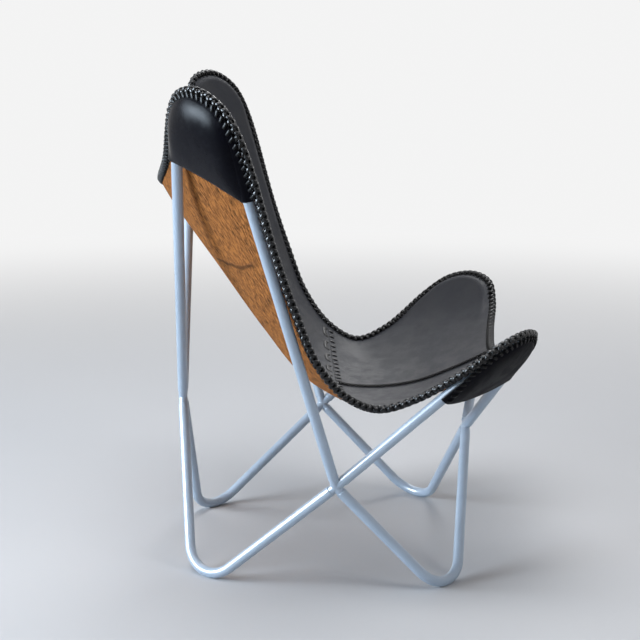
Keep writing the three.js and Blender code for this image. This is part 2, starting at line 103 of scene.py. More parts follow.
# Pockets: the hem's swell falls by the relief, and a pocket is taken to cover its tube within the reach
POCKET_EASE = 0.0003
POCKET_EDGE_INSET = 0.0061
POCKET_STATIONS = 97
POCKET_ROWS = 49
POCKET_FLANK_ROWS = 5
POCKET_ARC_ROWS = 9
POCKET_HEM_RELIEF = 0.8
POCKET_HEM_CROWDING = 1.5
POCKET_SWELL_POWER = 0.6
POCKET_REACH = 0.03
REAR_POCKET = {"side_reach": 0.414, "middle_reach": 0.388, "hem_sag": -0.008, "rise": 0.78, "fullness": 0.026}
FRONT_POCKET = {"side_reach": 0.268, "middle_reach": 0.282, "hem_sag": 0.014, "rise": 0.45, "fullness": 0.020}
POCKETS = {"rear": REAR_POCKET, "front": FRONT_POCKET}

# Middle line of the sling, from the dip of its top edge to the front edge: depth and height
SPINE = np.array([
    (0.292, 0.707), (0.267, 0.665), (0.190, 0.555), (0.104, 0.433), (0.034, 0.348),
    (-0.035, 0.310), (-0.110, 0.301), (-0.190, 0.311), (-0.262, 0.337), (-0.338, 0.372),
])
SPINE_CREASE = 5

# Edge of the sling where it hangs free: half width, depth and height
TOP_EDGE = [(0.100, 0.287, 0.722), (0.205, 0.271, 0.764)]
FLANK_EDGE = [
    (0.392, 0.085, 0.616), (0.367, 0.053, 0.520), (0.343, 0.017, 0.428),
    (0.311, -0.035, 0.361), (0.291, -0.093, 0.333), (0.308, -0.156, 0.354),
]
FLANK_CREASE = 3
FRONT_EDGE = (0.110, -0.350, 0.388)

# Edge of the sling round a tip: how far outside the bend and above it, at shares of half the bend's turn
EDGE_MARGIN = 0.020
EDGE_RISE = 0.002
TIP_ARC_SHARES = (-1, -0.5, 0, 0.5, 1)

# Edge lacing: a braid of flat laces on a core, and the stitches that hold it. A lace is given by its width
# and thickness. A stitch falls from shares of its top to shares of the lace's lift, and then into its hole.
LACE_LIFT = LEATHER_THICKNESS / 2 + 0.0009
LACE_SIDES = 8
BRAID_STRANDS = 4
BRAID_WEAVE = 0.0013
BRAID_LACE = (0.0062, 0.0028)
BRAID_LEAN = 0.0026
BRAID_INSET = 0.0006
BRAID_CORE_RADIUS = 0.0028
BRAID_CORE_STEP = 3
BRAID_STATIONS_PER_TURN = 22
STITCH_LACE = (0.0052, 0.0020)
STITCH_SLANT = 0.0066
STITCH_START = 0.0036
STITCH_START_BEHIND = 0.0012
STITCH_HOLE = 0.0104
STITCH_HOLE_DEPTH = 0.0008
STITCH_TOP = 0.0052
STITCH_LEAST_TOP = 1.4
STITCH_HIGH = np.array([1.0, 0.92])
STITCH_LOW = np.array([1.35, 1.0, 0.7])
STITCH_TRAVEL = np.array([0.0, 0.22, 0.45, 0.7, 0.9, 1.0])

# Thin braid on the seat's seam
SEAM_STRANDS = 4
SEAM_PITCH = 0.015
SEAM_RADIUS = 0.0017
SEAM_WEAVE = 0.0005
SEAM_LACE = (0.0026, 0.0012)
SEAM_INSET = 0.005

# Lacing over the crease: loops on the back panel, dashes on the seat
CREASE_END = 0.965
CREASE_LACE = (0.0082, 0.0028)
CREASE_LOOP_PITCH = 0.058
CREASE_LOOP_LENGTH = 0.034
CREASE_LOOP_REACH = 0.013
CREASE_DASH_PITCH = 0.0215
CREASE_DASH_REACH = 0.0135
CREASE_DASH_SLANT = 0.005
CREASE_HOLE_DEPTH = 0.0012
CREASE_SAMPLES = 400
CREASE_STATIONS = 17
CREASE_ARCH_POWER = 0.35
CREASE_LOOP_POWER = 0.6

# Long wrinkle in the flesh side of the back panel, in flat leather: start height, slope, wander and its waves
# to a metre, half width, and where along the panel it fades: from where it is seen to where it is gone
# The wrinkle is a bump, and its line is also painted shade in the suede's colour.
WRINKLE_START = 0.112
WRINKLE_SLOPE = 0.35
WRINKLE_WANDER = 0.03
WRINKLE_WAVES = 14.0
WRINKLE_WIDTH = 0.0065
WRINKLE_ENDS = ((0.15, 0.11), (0.31, 0.345))

# Camera: millimetres for the sensor, and degrees for azimuth, elevation and roll
SENSOR_WIDTH = 36.0
CAMERA_FOCAL_SHARE = 1500 / 640
CAMERA_PLACE = (-2.7963, 0.14652, 1.0017)
CAMERA_ANGLES = (-92.278, 11.443, 0.086)

# Studio: the floor's dish, from where to where it fades into the backdrop, and where the backdrop gets
# brighter
DISH_RADIUS = 4.0
DISH_FILLET = 2.0
DISH_HEIGHT = 4.5
DISH_SIDES = 96
DISH_STATIONS = 17
BACKDROP_FADE = (0.9, 4.2)
BACKDROP_TURN = (-2.0, 1.5)
BACKDROP_NEAR_SHARE = 0.3
SOFTBOX_TARGET = np.array([0.0, 0.0, 0.45])
WORLD_COLOUR = (0.9, 0.93, 1.0, 1.0)


class Curve:
    """Smooth line through given points, read by its share of arc length.

    Each piece is a cubic Hermite between two points, whose end slopes weigh the neighbouring chords by the
    square roots of their lengths (a centripetal Catmull-Rom spline). The line of half a mirrored outline goes
    on as its own mirror image past both ends, so that it meets the middle plane squarely.
    """

    SAMPLES = 240

    def __init__(self, points, mirrored=False):
        points = np.asarray(points, float)
        before, after = 2 * points[0] - points[1], 2 * points[-1] - points[-2]
        if mirrored:
            before, after = points[1] * MIRROR, points[-2] * MIRROR
        padded = np.vstack([before, points, after])
        weight = np.sqrt(np.linalg.norm(np.diff(padded, axis=0), axis=1))[:, None]
        chord = np.diff(padded, axis=0)
        slope = (chord[:-1] / weight[:-1] - (padded[2:] - padded[:-2]) / (weight[:-1] + weight[1:])
                 + chord[1:] / weight[1:])
        start, end = slope[:-1] * weight[1:-1], slope[1:] * weight[1:-1]
        t = np.linspace(0, 1, self.SAMPLES, endpoint=False)[None, :, None]
        a, b = points[:-1, None], points[1:, None]
        lines = ((2 * t**3 - 3 * t**2 + 1) * a + (t**3 - 2 * t**2 + t) * start[:, None]
                 + (3 * t**2 - 2 * t**3) * b + (t**3 - t**2) * end[:, None])
        self.line = np.vstack([lines.reshape(-1, points.shape[1]), points[-1:]])
        steps = np.linalg.norm(np.diff(self.line, axis=0), axis=1)
        self.travel = np.concatenate([[0], np.cumsum(steps)])
        self.length = self.travel[-1]

    def share_of(self, index):
        """Share of the arc length at which the line passes its given point of that index."""
        return self.travel[index * self.SAMPLES] / self.length

    def at(self, share):
        """Places at shares of the arc length."""
        distance = np.clip(share, 0, 1) * self.length
        return np.stack([np.interp(distance, self.travel, column) for column in self.line.T], axis=-1)

    def tangent(self, share, step=0.0008):
        """Directions onward at shares of the arc length."""
        return unit(self.at(np.asarray(share) + step) - self.at(np.asarray(share) - step))


def unit(vectors):
    """Vectors divided by their lengths."""
    return vectors / np.maximum(np.linalg.norm(vectors, axis=-1, keepdims=True), 1e-12)


def dot(a, b):
    """Scalar products along the last axis."""
    return np.sum(a * b, axis=-1)


def smooth(value):
    """Ease from 0 to 1: three squares less two cubes of the clipped value."""
    value = np.clip(value, 0, 1)
    return value * value * (3 - 2 * value)


class BentTube:
    """Two straight arms from a corner, joined by an arc of the bend radius in the plane that they share."""

    def __init__(self, corner, side_end, middle_end, bend_radius, hub_reaches):
        self.corner, self.bend_radius, self.hub_reaches = corner, bend_radius, hub_reaches
        self.side_arm, self.middle_arm = unit(side_end - corner), unit(middle_end - corner)
        self.bisector = unit(self.side_arm + self.middle_arm)
        self.half_angle = math.acos(dot(self.side_arm, self.middle_arm)) / 2
        self.centre = corner + self.bisector * bend_radius / math.sin(self.half_angle)
        self.across = unit(self.side_arm - self.bisector * math.cos(self.half_angle))
        self.normal = unit(np.cross(self.bisector, self.across))
        self.arm_length = bend_radius / math.tan(self.half_angle)
        self.sweep = math.pi - 2 * self.half_angle
        self.frontward = np.sign(self.normal[2])
        self.reaches = (np.linalg.norm(side_end - corner) - hub_reaches[0],
                        np.linalg.norm(middle_end - corner) - hub_reaches[1])

    def spoke(self, angle):
        """Directions from the bend's centre at angles from its tip."""
        angle = np.asarray(angle, float)[..., None]
        return -np.cos(angle) * self.bisector + np.sin(angle) * self.across

    def beside(self, angle, outside, height):
        """Points off the bend: turned by an angle from the tip, outside the arc and in front of its plane."""
        outside, height = np.asarray(outside, float)[..., None], np.asarray(height, float)[..., None]
        return self.centre + self.spoke(angle) * (self.bend_radius + outside) + self.normal * height

    def along(self, run, middle_reach, outside, height):
        """Points beside the tube at runs of its length, from a reach along its middle arm round the bend."""
        run = np.asarray(run, float)
        first = middle_reach - self.arm_length
        arc = self.sweep * self.bend_radius
        angle = np.clip((run - first) / arc - 0.5, -0.5, 0.5) * self.sweep
        point = self.beside(angle, outside, height)
        before = np.minimum(run - first, 0)[..., None]
        after = np.maximum(run - first - arc, 0)[..., None]
        return point - before * self.middle_arm + after * self.side_arm

    def length(self, side_reach, middle_reach):
        """Length of the centre line from a reach along one arm to a reach along the other."""
        return side_reach + middle_reach - 2 * self.arm_length + self.sweep * self.bend_radius

    def measure(self, point):
        """In-plane distance outside the centre line, and height in front of the plane."""
        offset = point - self.centre
        height, along, aside = dot(offset, self.normal), dot(offset, self.bisector), dot(offset, self.across)
        angle = np.arctan2(np.abs(aside), -along)
        round_bend = np.hypot(along, aside)
        beyond = math.cos(self.half_angle) * np.abs(aside) - math.sin(self.half_angle) * along
        return np.where(angle < self.sweep / 2, round_bend, beyond) - self.bend_radius, height


def placed(point, side=1):
    """Place of a point given for the left side, on either side."""
    return np.array([side * point[0], point[1] + DEPTH_SHIFT, point[2]])


def foot_tube(corner, *ends):
    """Foot whose corner is sunk until the underside of its bend lies just below the floor."""
    point = corner.copy()
    for _ in range(FOOT_SINK_PASSES):
        tube = BentTube(point.copy(), *ends)
        tilt = math.hypot(tube.bisector[2], tube.across[2])
        point[2] -= tube.centre[2] - FOOT_BEND_RADIUS * tilt - TUBE_RADIUS + FOOT_CONTACT_DEPTH
    return BentTube(point, *ends)


def side_tubes(side):
    """The four bent tubes of one side by their kinds."""
    flank, back, front = placed(SIDE_CROSSING, side), placed(BACK_CROSSING), placed(FRONT_CROSSING)
    back_feet, back_tops, front_feet, front_tops = (
        (SIDE_REACHES[kind], reaches[kind])
        for reaches in (BACK_REACHES, FRONT_REACHES) for kind in ("foot", "top"))
    return {
        "foot_rear": foot_tube(placed(REAR_FOOT_CORNER, side), flank, back, FOOT_BEND_RADIUS, back_feet),
        "foot_front": foot_tube(placed(FRONT_FOOT_CORNER, side), flank, front, FOOT_BEND_RADIUS, front_feet),
        "top_rear": BentTube(placed(REAR_TOP_CORNER, side), flank, back, REAR_TOP_BEND_RADIUS, back_tops),
        "top_front": BentTube(
            placed(FRONT_TOP_CORNER, side), flank, front, FRONT_TOP_BEND_RADIUS, front_tops),
    }


TUBES = {word: side_tubes(side) for word, side in SIDES.items()}


class SlingHalf:
    """Left half of the sling as a surface of two parameters.

    across runs from the middle line (0) to the edge (1), and down from the top edge (0) over the crease (1)
    to the front edge (2). A point lies between the middle line and the edge, nearer the middle line by the
    square of across, and both end rows are bent onto the top and front edges. The right half is its mirror
    image.
    """

    CLEARANCE = TUBE_RADIUS + LEATHER_THICKNESS / 2 + SLING_EASE
    END_BLEND = 4
    END_AIM_SHARE = 0.12
    TUBE_BLEND = 0.012
    INNER_SLOPE = 0.12

    def __init__(self):
        self.tubes = {kind: TUBES["left"][f"top_{kind}"] for kind in POCKETS}
        tips = [self.round_tip(self.tubes["rear"], TIP_ARC_SHARES),
                self.round_tip(self.tubes["front"], TIP_ARC_SHARES[::-1])]
        top = [placed((0, *SPINE[0]))] + [placed(point) for point in TOP_EDGE]
        flank = [placed(point) for point in FLANK_EDGE]
        front = [placed(FRONT_EDGE), placed((0, *SPINE[-1]))]
        self.edge = Curve(np.vstack([top, tips[0], flank, tips[1], front]), mirrored=True)
        middle = len(TIP_ARC_SHARES) // 2
        self.rear_tip = self.edge.share_of(len(top) + middle)
        self.crease = self.edge.share_of(len(top) + len(TIP_ARC_SHARES) + FLANK_CREASE)
        self.front_tip = self.edge.share_of(len(top) + len(TIP_ARC_SHARES) + len(flank) + middle)
        self.spine = Curve(np.array([placed((0, *point)) for point in SPINE]))
        self.spine_crease = self.spine.share_of(SPINE_CREASE)

    @staticmethod
    def round_tip(tube, shares):
        """Points of the outline round a tip, at shares of half the bend's turn."""
        angle = np.array(shares) * tube.sweep / 2
        return tube.beside(angle, EDGE_MARGIN, tube.frontward * EDGE_RISE)

    def cut_edge(self, share, inner):
        """Edge of the leather: the outline moved towards an inner point, square to its own run."""
        point, tangent = self.edge.at(share), self.edge.tangent(share)
        inward = inner - point
        inward = unit(inward - tangent * dot(inward, tangent)[..., None])
        return point + inward * SLING_EDGE_INSET

    @staticmethod
    def bowed(start, end, across):
        """Points from start to end by the square of across, but straight by across in width."""
        point = start + (end - start) * (across ** 2)[..., None]
        point[..., 0] = end[..., 0] * across
        return point

    def surface(self, across, down, lifted=True):
        """Places of the leather's middle layer, lifted off the tubes that it would touch."""
        across, down = np.broadcast_arrays(np.asarray(across, float), np.asarray(down, float))
        stops = (0, 1, 2)
        middle = self.spine.at(np.interp(down, stops, (0, self.spine_crease, 1)))
        share = np.interp(down, stops, (self.rear_tip, self.crease, self.front_tip))
        point = self.bowed(middle, self.cut_edge(share, middle), across)
        ends = (
            (np.maximum(1 - down, 0), self.rear_tip, 0, self.END_AIM_SHARE),
            (np.maximum(down - 1, 0), self.front_tip, 1, 1 - self.END_AIM_SHARE),
        )
        for nearness, tip, end, aim in ends:
            aimed = self.spine.at(aim)
            wanted = self.cut_edge(end + (tip - end) * across, aimed)
            start = self.cut_edge(end, aimed)
            wanted[..., 0] -= start[0] * (1 - across)
            plain = self.bowed(self.spine.at(end), self.cut_edge(tip, self.spine.at(end)), across)
            point = point + (wanted - plain) * (nearness ** self.END_BLEND)[..., None]
        if lifted:
            for tube in self.tubes.values():
                point = self.lifted(point, tube, 1, self.INNER_SLOPE)
        return point

    def lifted(self, point, tube, face, inner_slope):
        """Raise points off a tube they would touch, on the sitter's side (face 1) or behind (face -1).

        The ridge is a circle of the clearance radius round the tube, with a straight flank at 45 degrees
        outside the bend and one that falls by the inner slope inside it, both tangent to the circle. The
        change is rounded over the blend distance.
        """
        outside, height = tube.measure(point)
        rise = height * tube.frontward * face
        slope = np.where(outside > 0, 1.0, inner_slope)
        reach, lean = np.abs(outside), np.sqrt(1 + slope ** 2)
        crown = np.sqrt(np.maximum(self.CLEARANCE ** 2 - reach ** 2, 0))
        ridge = np.where(reach < self.CLEARANCE * slope / lean, crown, self.CLEARANCE * lean - slope * reach)
        soft = np.maximum(self.TUBE_BLEND - np.abs(rise - ridge), 0)
        raised = np.maximum(rise, ridge) + soft ** 2 / (4 * self.TUBE_BLEND)
        return point + tube.normal * ((raised - rise) * tube.frontward * face)[..., None]


def spaced(count, start, end, crowding=0.0):
    """Values from start to end, crowded towards both ends by a share of a half cosine wave."""
    t = np.linspace(0, 1, count)
    return start + (end - start) * ((1 - crowding) * t + crowding * (0.5 - 0.5 * np.cos(math.pi * t)))


def across_shares(columns):
    """Shares from the middle line to the edge, crowded at the edge, where the leather turns over tubes: even
    steps mixed with a quarter of a sine wave."""
    t = np.linspace(0, 1, columns)
    return (1 - EDGE_CROWDING) * t + EDGE_CROWDING * np.sin(t * math.pi / 2)


def grid_normals(points):
    """Unit normals of a grid: the cross product of its slopes along the columns and along the rows."""
    down, across = np.gradient(points, axis=0), np.gradient(points, axis=1)
    return unit(np.cross(across, down))


def grid_quads(rows, columns, wrap=False):
    """Corner indices of a grid's quads, also from the last column to the first where it wraps round."""
    index = np.arange(rows * columns).reshape(rows, columns)
    if wrap:
        index = np.hstack([index, index[:, :1]])
    return np.stack([index[:-1, :-1], index[:-1, 1:], index[1:, 1:], index[1:, :-1]], axis=-1).reshape(-1, 4)


def closed_grid_quads(rows, sides):
    """Corner indices of a grid's quads that close both ways, also from its last row back to its first."""
    here, onward = np.arange(sides), np.roll(np.arange(sides), -1)
    last = (rows - 1) * sides
    closing = np.stack([last + here, last + onward, onward, here], axis=1)
    return np.vstack([grid_quads(rows, sides, wrap=True), closing])


def flat_map(points):
    """Flat places of a grid in metres: travel along each row from its middle, and along the middle column."""
    travel = np.linalg.norm(np.diff(points, axis=1), axis=2).cumsum(axis=1)
    travel = np.hstack([np.zeros((len(points), 1)), travel])
    middle = points.shape[1] // 2
    travel -= travel[:, middle:middle + 1]
    steps = np.linalg.norm(np.diff(points[:, middle], axis=0), axis=1)
    fall = np.concatenate([[0], steps.cumsum()])
    return np.stack([travel, np.broadcast_to(fall[:, None], travel.shape)], axis=-1)


def add_object(name, vertices, faces, materials, slots=None, places=None, rides=True):
    """Smooth mesh object at the origin; slots gives each face's material, places each vertex's flat place."""
    mesh = bpy.data.meshes.new(name)
    mesh.from_pydata(vertices.tolist(), [], faces)
    for material in materials:
        mesh.materials.append(material)
    if slots is not None:
        mesh.polygons.foreach_set("material_index", np.asarray(slots, np.int32))
    if places is not None:
        corners = np.zeros(len(mesh.loops), np.int32)
        mesh.loops.foreach_get("vertex_index", corners)
        layer = mesh.uv_layers.new(name="UVMap")
        layer.data.foreach_set("uv", np.asarray(places, np.float32)[corners].ravel())
    mesh.shade_smooth()
    mesh.update()
    piece = bpy.data.objects.new(name, mesh)
    bpy.context.scene.collection.objects.link(piece)
    if rides:
        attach(piece, "root")
    return piece


def add_sheet(name, points, materials):
    """Closed leather sheet over a grid whose normals face its smooth side.

    Two layers lie half the thickness to either side, and a rim row stands out between them by a share of the
    thickness. Where a border column shrinks to a point, it takes the normals of the column beside it. The
    materials are for the smooth side, the flesh side and the rim.
    """
    rows, columns = points.shape[:2]
    count = rows * columns
    normals = grid_normals(points)
    for column, beside in ((0, 1), (-1, -2)):
        pole = np.linalg.norm(normals[:, column], axis=-1) < 0.5
        normals[pole, column] = normals[pole, beside]
    outward = np.zeros_like(points)
    for border, inner in (((0,), (1,)), ((-1,), (-2,)), ((slice(None), 0), (slice(None), 1)),
                          ((slice(None), -1), (slice(None), -2))):
        outward[border] += unit(points[border] - points[inner])
    index = np.arange(count).reshape(rows, columns)
    loop = np.concatenate([index[0], index[1:, -1], index[-1, -2::-1], index[-2:0:-1, 0]])
    rim = points.reshape(-1, 3)[loop] + unit(outward.reshape(-1, 3)[loop]) * LEATHER_THICKNESS * RIM_ROUND
    smooth_side = (points + normals * LEATHER_THICKNESS / 2).reshape(-1, 3)
    flesh_side = (points - normals * LEATHER_THICKNESS / 2).reshape(-1, 3)
    quads = grid_quads(rows, columns)
    here, onward = np.arange(len(loop)), np.roll(np.arange(len(loop)), -1)
    upper = np.stack([loop[onward], loop[here], 2 * count + here, 2 * count + onward], axis=1)
    lower = np.stack([count + loop[here], count + loop[onward], 2 * count + onward, 2 * count + here], axis=1)
    faces = np.vstack([quads, quads[:, ::-1] + count, upper, lower])
    slots = np.repeat([0, 1, 2], [len(quads), len(quads), 2 * len(loop)])
    flat = flat_map(points).reshape(-1, 2)
    return add_object(name, np.vstack([smooth_side, flesh_side, rim]), faces.tolist(), materials, slots,
                      np.vstack([flat, flat, flat[loop]]))


def declare_sheet(grid):
    """Work out a leather sheet's flat map, which nothing uses further.
    """
    flat = flat_map(grid)


def ring_section(sides):
    """Points of a unit circle, in order."""
    angle = np.arange(sides) * 2 * math.pi / sides
    return np.stack([np.cos(angle), np.sin(angle)], axis=1)


def lace_section(width, thickness):
    """Flat lace with rounded edges: a superellipse of power 3 across its width and thickness."""
    circle = ring_section(LACE_SIDES)
    power = np.sign(circle) * np.abs(circle) ** (2 / 3)
    return power * (width / 2, thickness / 2)


def strand_faces(strands, stations, sides):
    """Quads and end caps of swept strands that lie one after another."""
    tube = grid_quads(stations, sides, wrap=True)
    size = stations * sides
    first = np.arange(sides)
    shift = np.arange(strands) * size
    walls = (tube + shift[:, None, None]).reshape(-1, 4)
    starts, ends = first[::-1] + shift[:, None], size - sides + first + shift[:, None]
    return walls.tolist() + starts.tolist() + ends.tolist()


def add_strands(name, path, upward, section, material):
    """Closed laces along paths, whose section lies flat to the upward vectors.

    A vertex is a point of a path plus its sideways and upward directions times the section's two coordinates.
    The flat places run along the paths.
    """
    tangent = unit(np.gradient(path, axis=1))
    upward = unit(upward - tangent * dot(upward, tangent)[..., None])
    sideways = np.cross(upward, tangent)
    vertices = path[:, :, None] + sideways[:, :, None] * section[:, :1] + upward[:, :, None] * section[:, 1:]
    strands, stations, sides = vertices.shape[:3]
    travel = np.linalg.norm(np.diff(path, axis=1), axis=2).cumsum(axis=1)
    travel = np.hstack([np.zeros((strands, 1)), travel])
    places = np.stack(np.broadcast_arrays(section[:, 0], travel[:, :, None]), axis=-1)
    return add_object(name, vertices.reshape(-1, 3), strand_faces(strands, stations, sides), [material],
                      places=places.reshape(-1, 2))


class EdgeRun:
    """The laced edge all round: places and directions at a share of the way, left half first, then right.

    At each share there is a point of the outline, the way onward, the way inward over the leather and the
    normal on the sitter's side. The inward way aims at the leather a little inside the edge.
    """

    STATIONS = 1200
    SOFTENING_SHARE = 60
    INNER_ACROSS = 0.86
    INNER_DOWN = 0.10

    def __init__(self, half):
        stations = self.STATIONS
        share = np.linspace(0, 1, stations)
        down = np.interp(share, (0, half.rear_tip, half.crease, half.front_tip, 1), (0, 0, 1, 2, 2))
        across = np.interp(share, (0, half.rear_tip, half.front_tip, 1), (0, 1, 1, 0))
        target = half.surface(np.minimum(across, self.INNER_ACROSS),
                              np.clip(down, self.INNER_DOWN, 2 - self.INNER_DOWN), lifted=False)
        point, onward = half.edge.at(share), half.edge.tangent(share)
        inward = target - point
        inward = self.softened(unit(inward - onward * dot(inward, onward)[..., None]))
        inward = unit(inward - onward * dot(inward, onward)[..., None])
        inward[[0, -1], 0] = 0
        inward = unit(inward)
        onward[[0, -1]] = ((1, 0, 0), (-1, 0, 0))
        normal = unit(np.cross(inward, onward))
        normal *= np.sign(normal[stations // 4, 2])
        whole = [np.vstack([left, sign * (left * MIRROR)[-2::-1]]) for left, sign in
                 ((point, 1), (onward, -1), (inward, 1), (normal, 1))]
        self.share = np.linspace(0, 1, len(whole[0]))
        self.length = 2 * half.edge.length
        self.point, self.onward, self.inward, self.normal = whole

    def softened(self, vectors):
        """Directions averaged with their neighbours by a bell curve, with the ends held."""
        width = self.STATIONS // self.SOFTENING_SHARE
        offsets = np.arange(-3 * width, 3 * width + 1)
        bell = np.exp(-0.5 * (offsets / width) ** 2)
        padded = np.pad(vectors, ((3 * width, 3 * width), (0, 0)), mode="edge")
        columns = [np.convolve(column, bell / bell.sum(), mode="valid") for column in padded.T]
        return unit(np.stack(columns, axis=1))

    def at(self, share):
        """Places, ways onward, ways inward and normals at shares of the way."""
        point, *ways = (np.stack([np.interp(share, self.share, column) for column in values.T], axis=-1)
                        for values in (self.point, self.onward, self.inward, self.normal))
        return point, *map(unit, ways)


def steel_tube_grid(tube, oval):
    """Wall of a hollow tube as one grid that closes both ways: along the outside, then back along the bore.

    A vertex lies at its station along the centre line, off it by the radius there times the cosine and sine
    of its angle. The radius falls by the chamfer at both ends, and the bend is drawn slightly oval.
    """
    side_reach, middle_reach = tube.reaches
    length = tube.length(side_reach, middle_reach)
    first, arc = middle_reach - tube.arm_length, tube.sweep * tube.bend_radius
    lips = np.array([0, TUBE_CHAMFER, 2.5 * TUBE_CHAMFER])
    end_room, bend_room = TUBE_ARM_ENDS
    inner_run = np.concatenate([
        spaced(TUBE_ARM_STATIONS, end_room, first - bend_room),
        spaced(TUBE_BEND_STATIONS, first, first + arc),
        spaced(TUBE_ARM_STATIONS, first + arc + bend_room, length - end_room)])
    run = np.concatenate([lips, inner_run, length - lips[::-1]])
    chamfer = np.zeros(len(run))
    chamfer[[0, -1]] = TUBE_CHAMFER
    radius = np.concatenate([TUBE_RADIUS - chamfer, (TUBE_RADIUS - TUBE_WALL + chamfer / 2)[::-1]])
    run = np.concatenate([run, run[::-1]])
    bend = smooth(1 - np.abs((run - first) / arc - 0.5) / 0.5)
    section = ring_section(TUBE_SIDES)
    outside = radius[:, None] * section[:, 0] * (1 - oval * bend[:, None])
    height = radius[:, None] * section[:, 1] * (1 + oval * bend[:, None])
    return tube.along(run[:, None], middle_reach, outside, height)


def lathe_solid(profile, origin, direction, first):
    """Closed solid of a (distance, radius) profile turned about an axis that starts at the origin.

    Its corners are counted from the first index.
    """
    profile = np.asarray(profile)
    aside = unit(np.cross(direction, (0.3, 0.5, 0.8)))
    beyond = np.cross(direction, aside)
    circle = ring_section(HUB_SIDES)
    rings = (origin + profile[:, None, :1] * direction
             + profile[:, None, 1:] * (circle[:, :1] * aside + circle[:, 1:] * beyond))
    walls = grid_quads(len(profile), HUB_SIDES, wrap=True) + first
    start = np.arange(first, first + HUB_SIDES)
    end = start + (len(profile) - 1) * HUB_SIDES
    return rings.reshape(-1, 3), walls.tolist() + [start[::-1].tolist(), end.tolist()]


def arm_profile(reach):
    """Profile of a connector's arm: thick up to the tube's end, then a spigot with a chamfered tip."""
    spigot = TUBE_RADIUS - TUBE_WALL - FIT_GAP
    tip = reach + SPIGOT_LENGTH
    return [
        (0, HUB_ARM_RADIUS), (reach - FIT_GAP, HUB_ARM_RADIUS), (reach - FIT_GAP, spigot),
        (tip - SPIGOT_CHAMFER, spigot), (tip, spigot - SPIGOT_CHAMFER),
    ]


def connector_solid(centre, arms):
    """Vertices and faces of a connector: four turned arms that overlap in a ball at their crossing.

    An arm is the direction in which it leaves and how far off its tube ends.
    """
    ball_angle = np.linspace(-HUB_BALL_REACH, HUB_BALL_REACH, HUB_BALL_RINGS) * math.pi
    ball = np.stack([np.sin(ball_angle), np.cos(ball_angle)], axis=1) * HUB_ARM_RADIUS
    profiles = [(arm_profile(reach), direction) for direction, reach in arms] + [(ball, arms[0][0])]
    vertices, faces = np.empty((0, 3)), []
    for profile, direction in profiles:
        points, corners = lathe_solid(profile, centre, direction, len(vertices))
        vertices = np.vstack([vertices, points])
        faces += corners
    return vertices, faces


def apply_modifiers(piece):
    """Put the piece's modified shape into its mesh, and drop the modifiers."""
    graph = bpy.context.evaluated_depsgraph_get()
    shaped = bpy.data.meshes.new_from_object(piece.evaluated_get(graph))
    piece.modifiers.clear()
    old, piece.data = piece.data, shaped
    shaped.name = piece.name
    bpy.data.meshes.remove(old)
    piece.data.shade_smooth()


def pocket_grid(tube, side_reach, middle_reach, hem_sag, rise, fullness):
    """Pocket behind a tip, as rows from the laced edge to the hem, each running round the bend.

    The rows follow a profile square to the tube: a straight flank at 45 degrees, an arc of the clearance
    radius over the tube's back, then a moulded span to the hem. The span swells away from the tube's plane by
    rise * fullness * (1 - exp(-distance / fullness)), where rise is its slope as it leaves the tube and falls
    to 0 at both ends of the hem by a power of a sine. The hem sags by four times the sag times the share run
    and the share left.
    """
    behind = -tube.frontward
    clearance = TUBE_RADIUS + LEATHER_THICKNESS / 2 + POCKET_EASE
    flank = clearance * math.sqrt(0.5)
    share = np.linspace(0, 1, POCKET_STATIONS)
    slope = rise * np.sin(math.pi * share) ** POCKET_SWELL_POWER
    flat_outside = spaced(POCKET_FLANK_ROWS, EDGE_MARGIN - POCKET_EDGE_INSET, flank)[:, None]
    flat_outside = np.broadcast_to(flat_outside, (POCKET_FLANK_ROWS, POCKET_STATIONS))
    turn = math.pi / 4 + (np.arctan(slope) - math.pi / 4) * np.linspace(0, 1, POCKET_ARC_ROWS)[1:, None]
    outside = np.concatenate([flat_outside, clearance * np.sin(turn)])
    height = np.concatenate([2 * flank - flat_outside, clearance * np.cos(turn)])
    run = share * tube.length(side_reach, middle_reach)
    wrap = tube.along(run[None], middle_reach, outside, behind * height)
    spine = wrap[-1]
    hem = spine[0] + (spine[-1] - spine[0]) * share[:, None]
    hem = hem + tube.bisector * (hem_sag * 4 * share * (1 - share))[:, None]
    depth = np.linspace(0, 1, POCKET_ROWS)[1:, None] ** POCKET_HEM_CROWDING
    away = np.linalg.norm(hem - spine, axis=-1) * depth
    swell = slope * fullness * (1 - np.exp(-away / fullness)) * (1 - POCKET_HEM_RELIEF * depth ** 2)
    span = spine + (hem - spine) * depth[..., None] + tube.normal * behind * swell[..., None]
    return np.vstack([wrap, span])


class Braid:
    """Round braid of an even number of strands, half of which wind each way round a centre line.

    A strand turns once per pitch. Its distance from the centre is the mean radius plus the weave times the
    cosine of half the number of strands times its turn, so that it passes over one strand and under the next.
    """

    def __init__(self, strands, pitch, radius, weave):
        self.half, self.pitch, self.radius, self.weave = strands // 2, pitch, radius, weave

    def strands(self, length, stations):
        """Angle and distance from the centre of each strand at even stations, with whole turns in all."""
        turns = max(round(length / self.pitch), 1)
        turn = np.linspace(0, 2 * math.pi * turns, stations)
        first = np.arange(self.half) * 2 * math.pi / self.half
        swing = self.weave * np.cos(self.half * turn)
        angle = np.concatenate([first[:, None] + turn, first[:, None] - turn])
        distance = self.radius + np.repeat([swing, -swing], self.half, axis=0)
        return angle, distance

    def stations(self, length):
        """How many stations a braid of a length has."""
        return int(round(length / self.pitch * BRAID_STATIONS_PER_TURN)) + 1

    def laid(self, name, length, point, aside, normal, lace, material):
        """Braid of a length round a line of points: each strand stands off it by its distance, in a direction
        that turns from aside to the normal by its angle."""
        angle, distance = self.strands(length, len(point))
        radial = np.cos(angle)[..., None] * aside + np.sin(angle)[..., None] * normal
        return add_strands(name, point + distance[..., None] * radial, radial, lace_section(*lace), material)


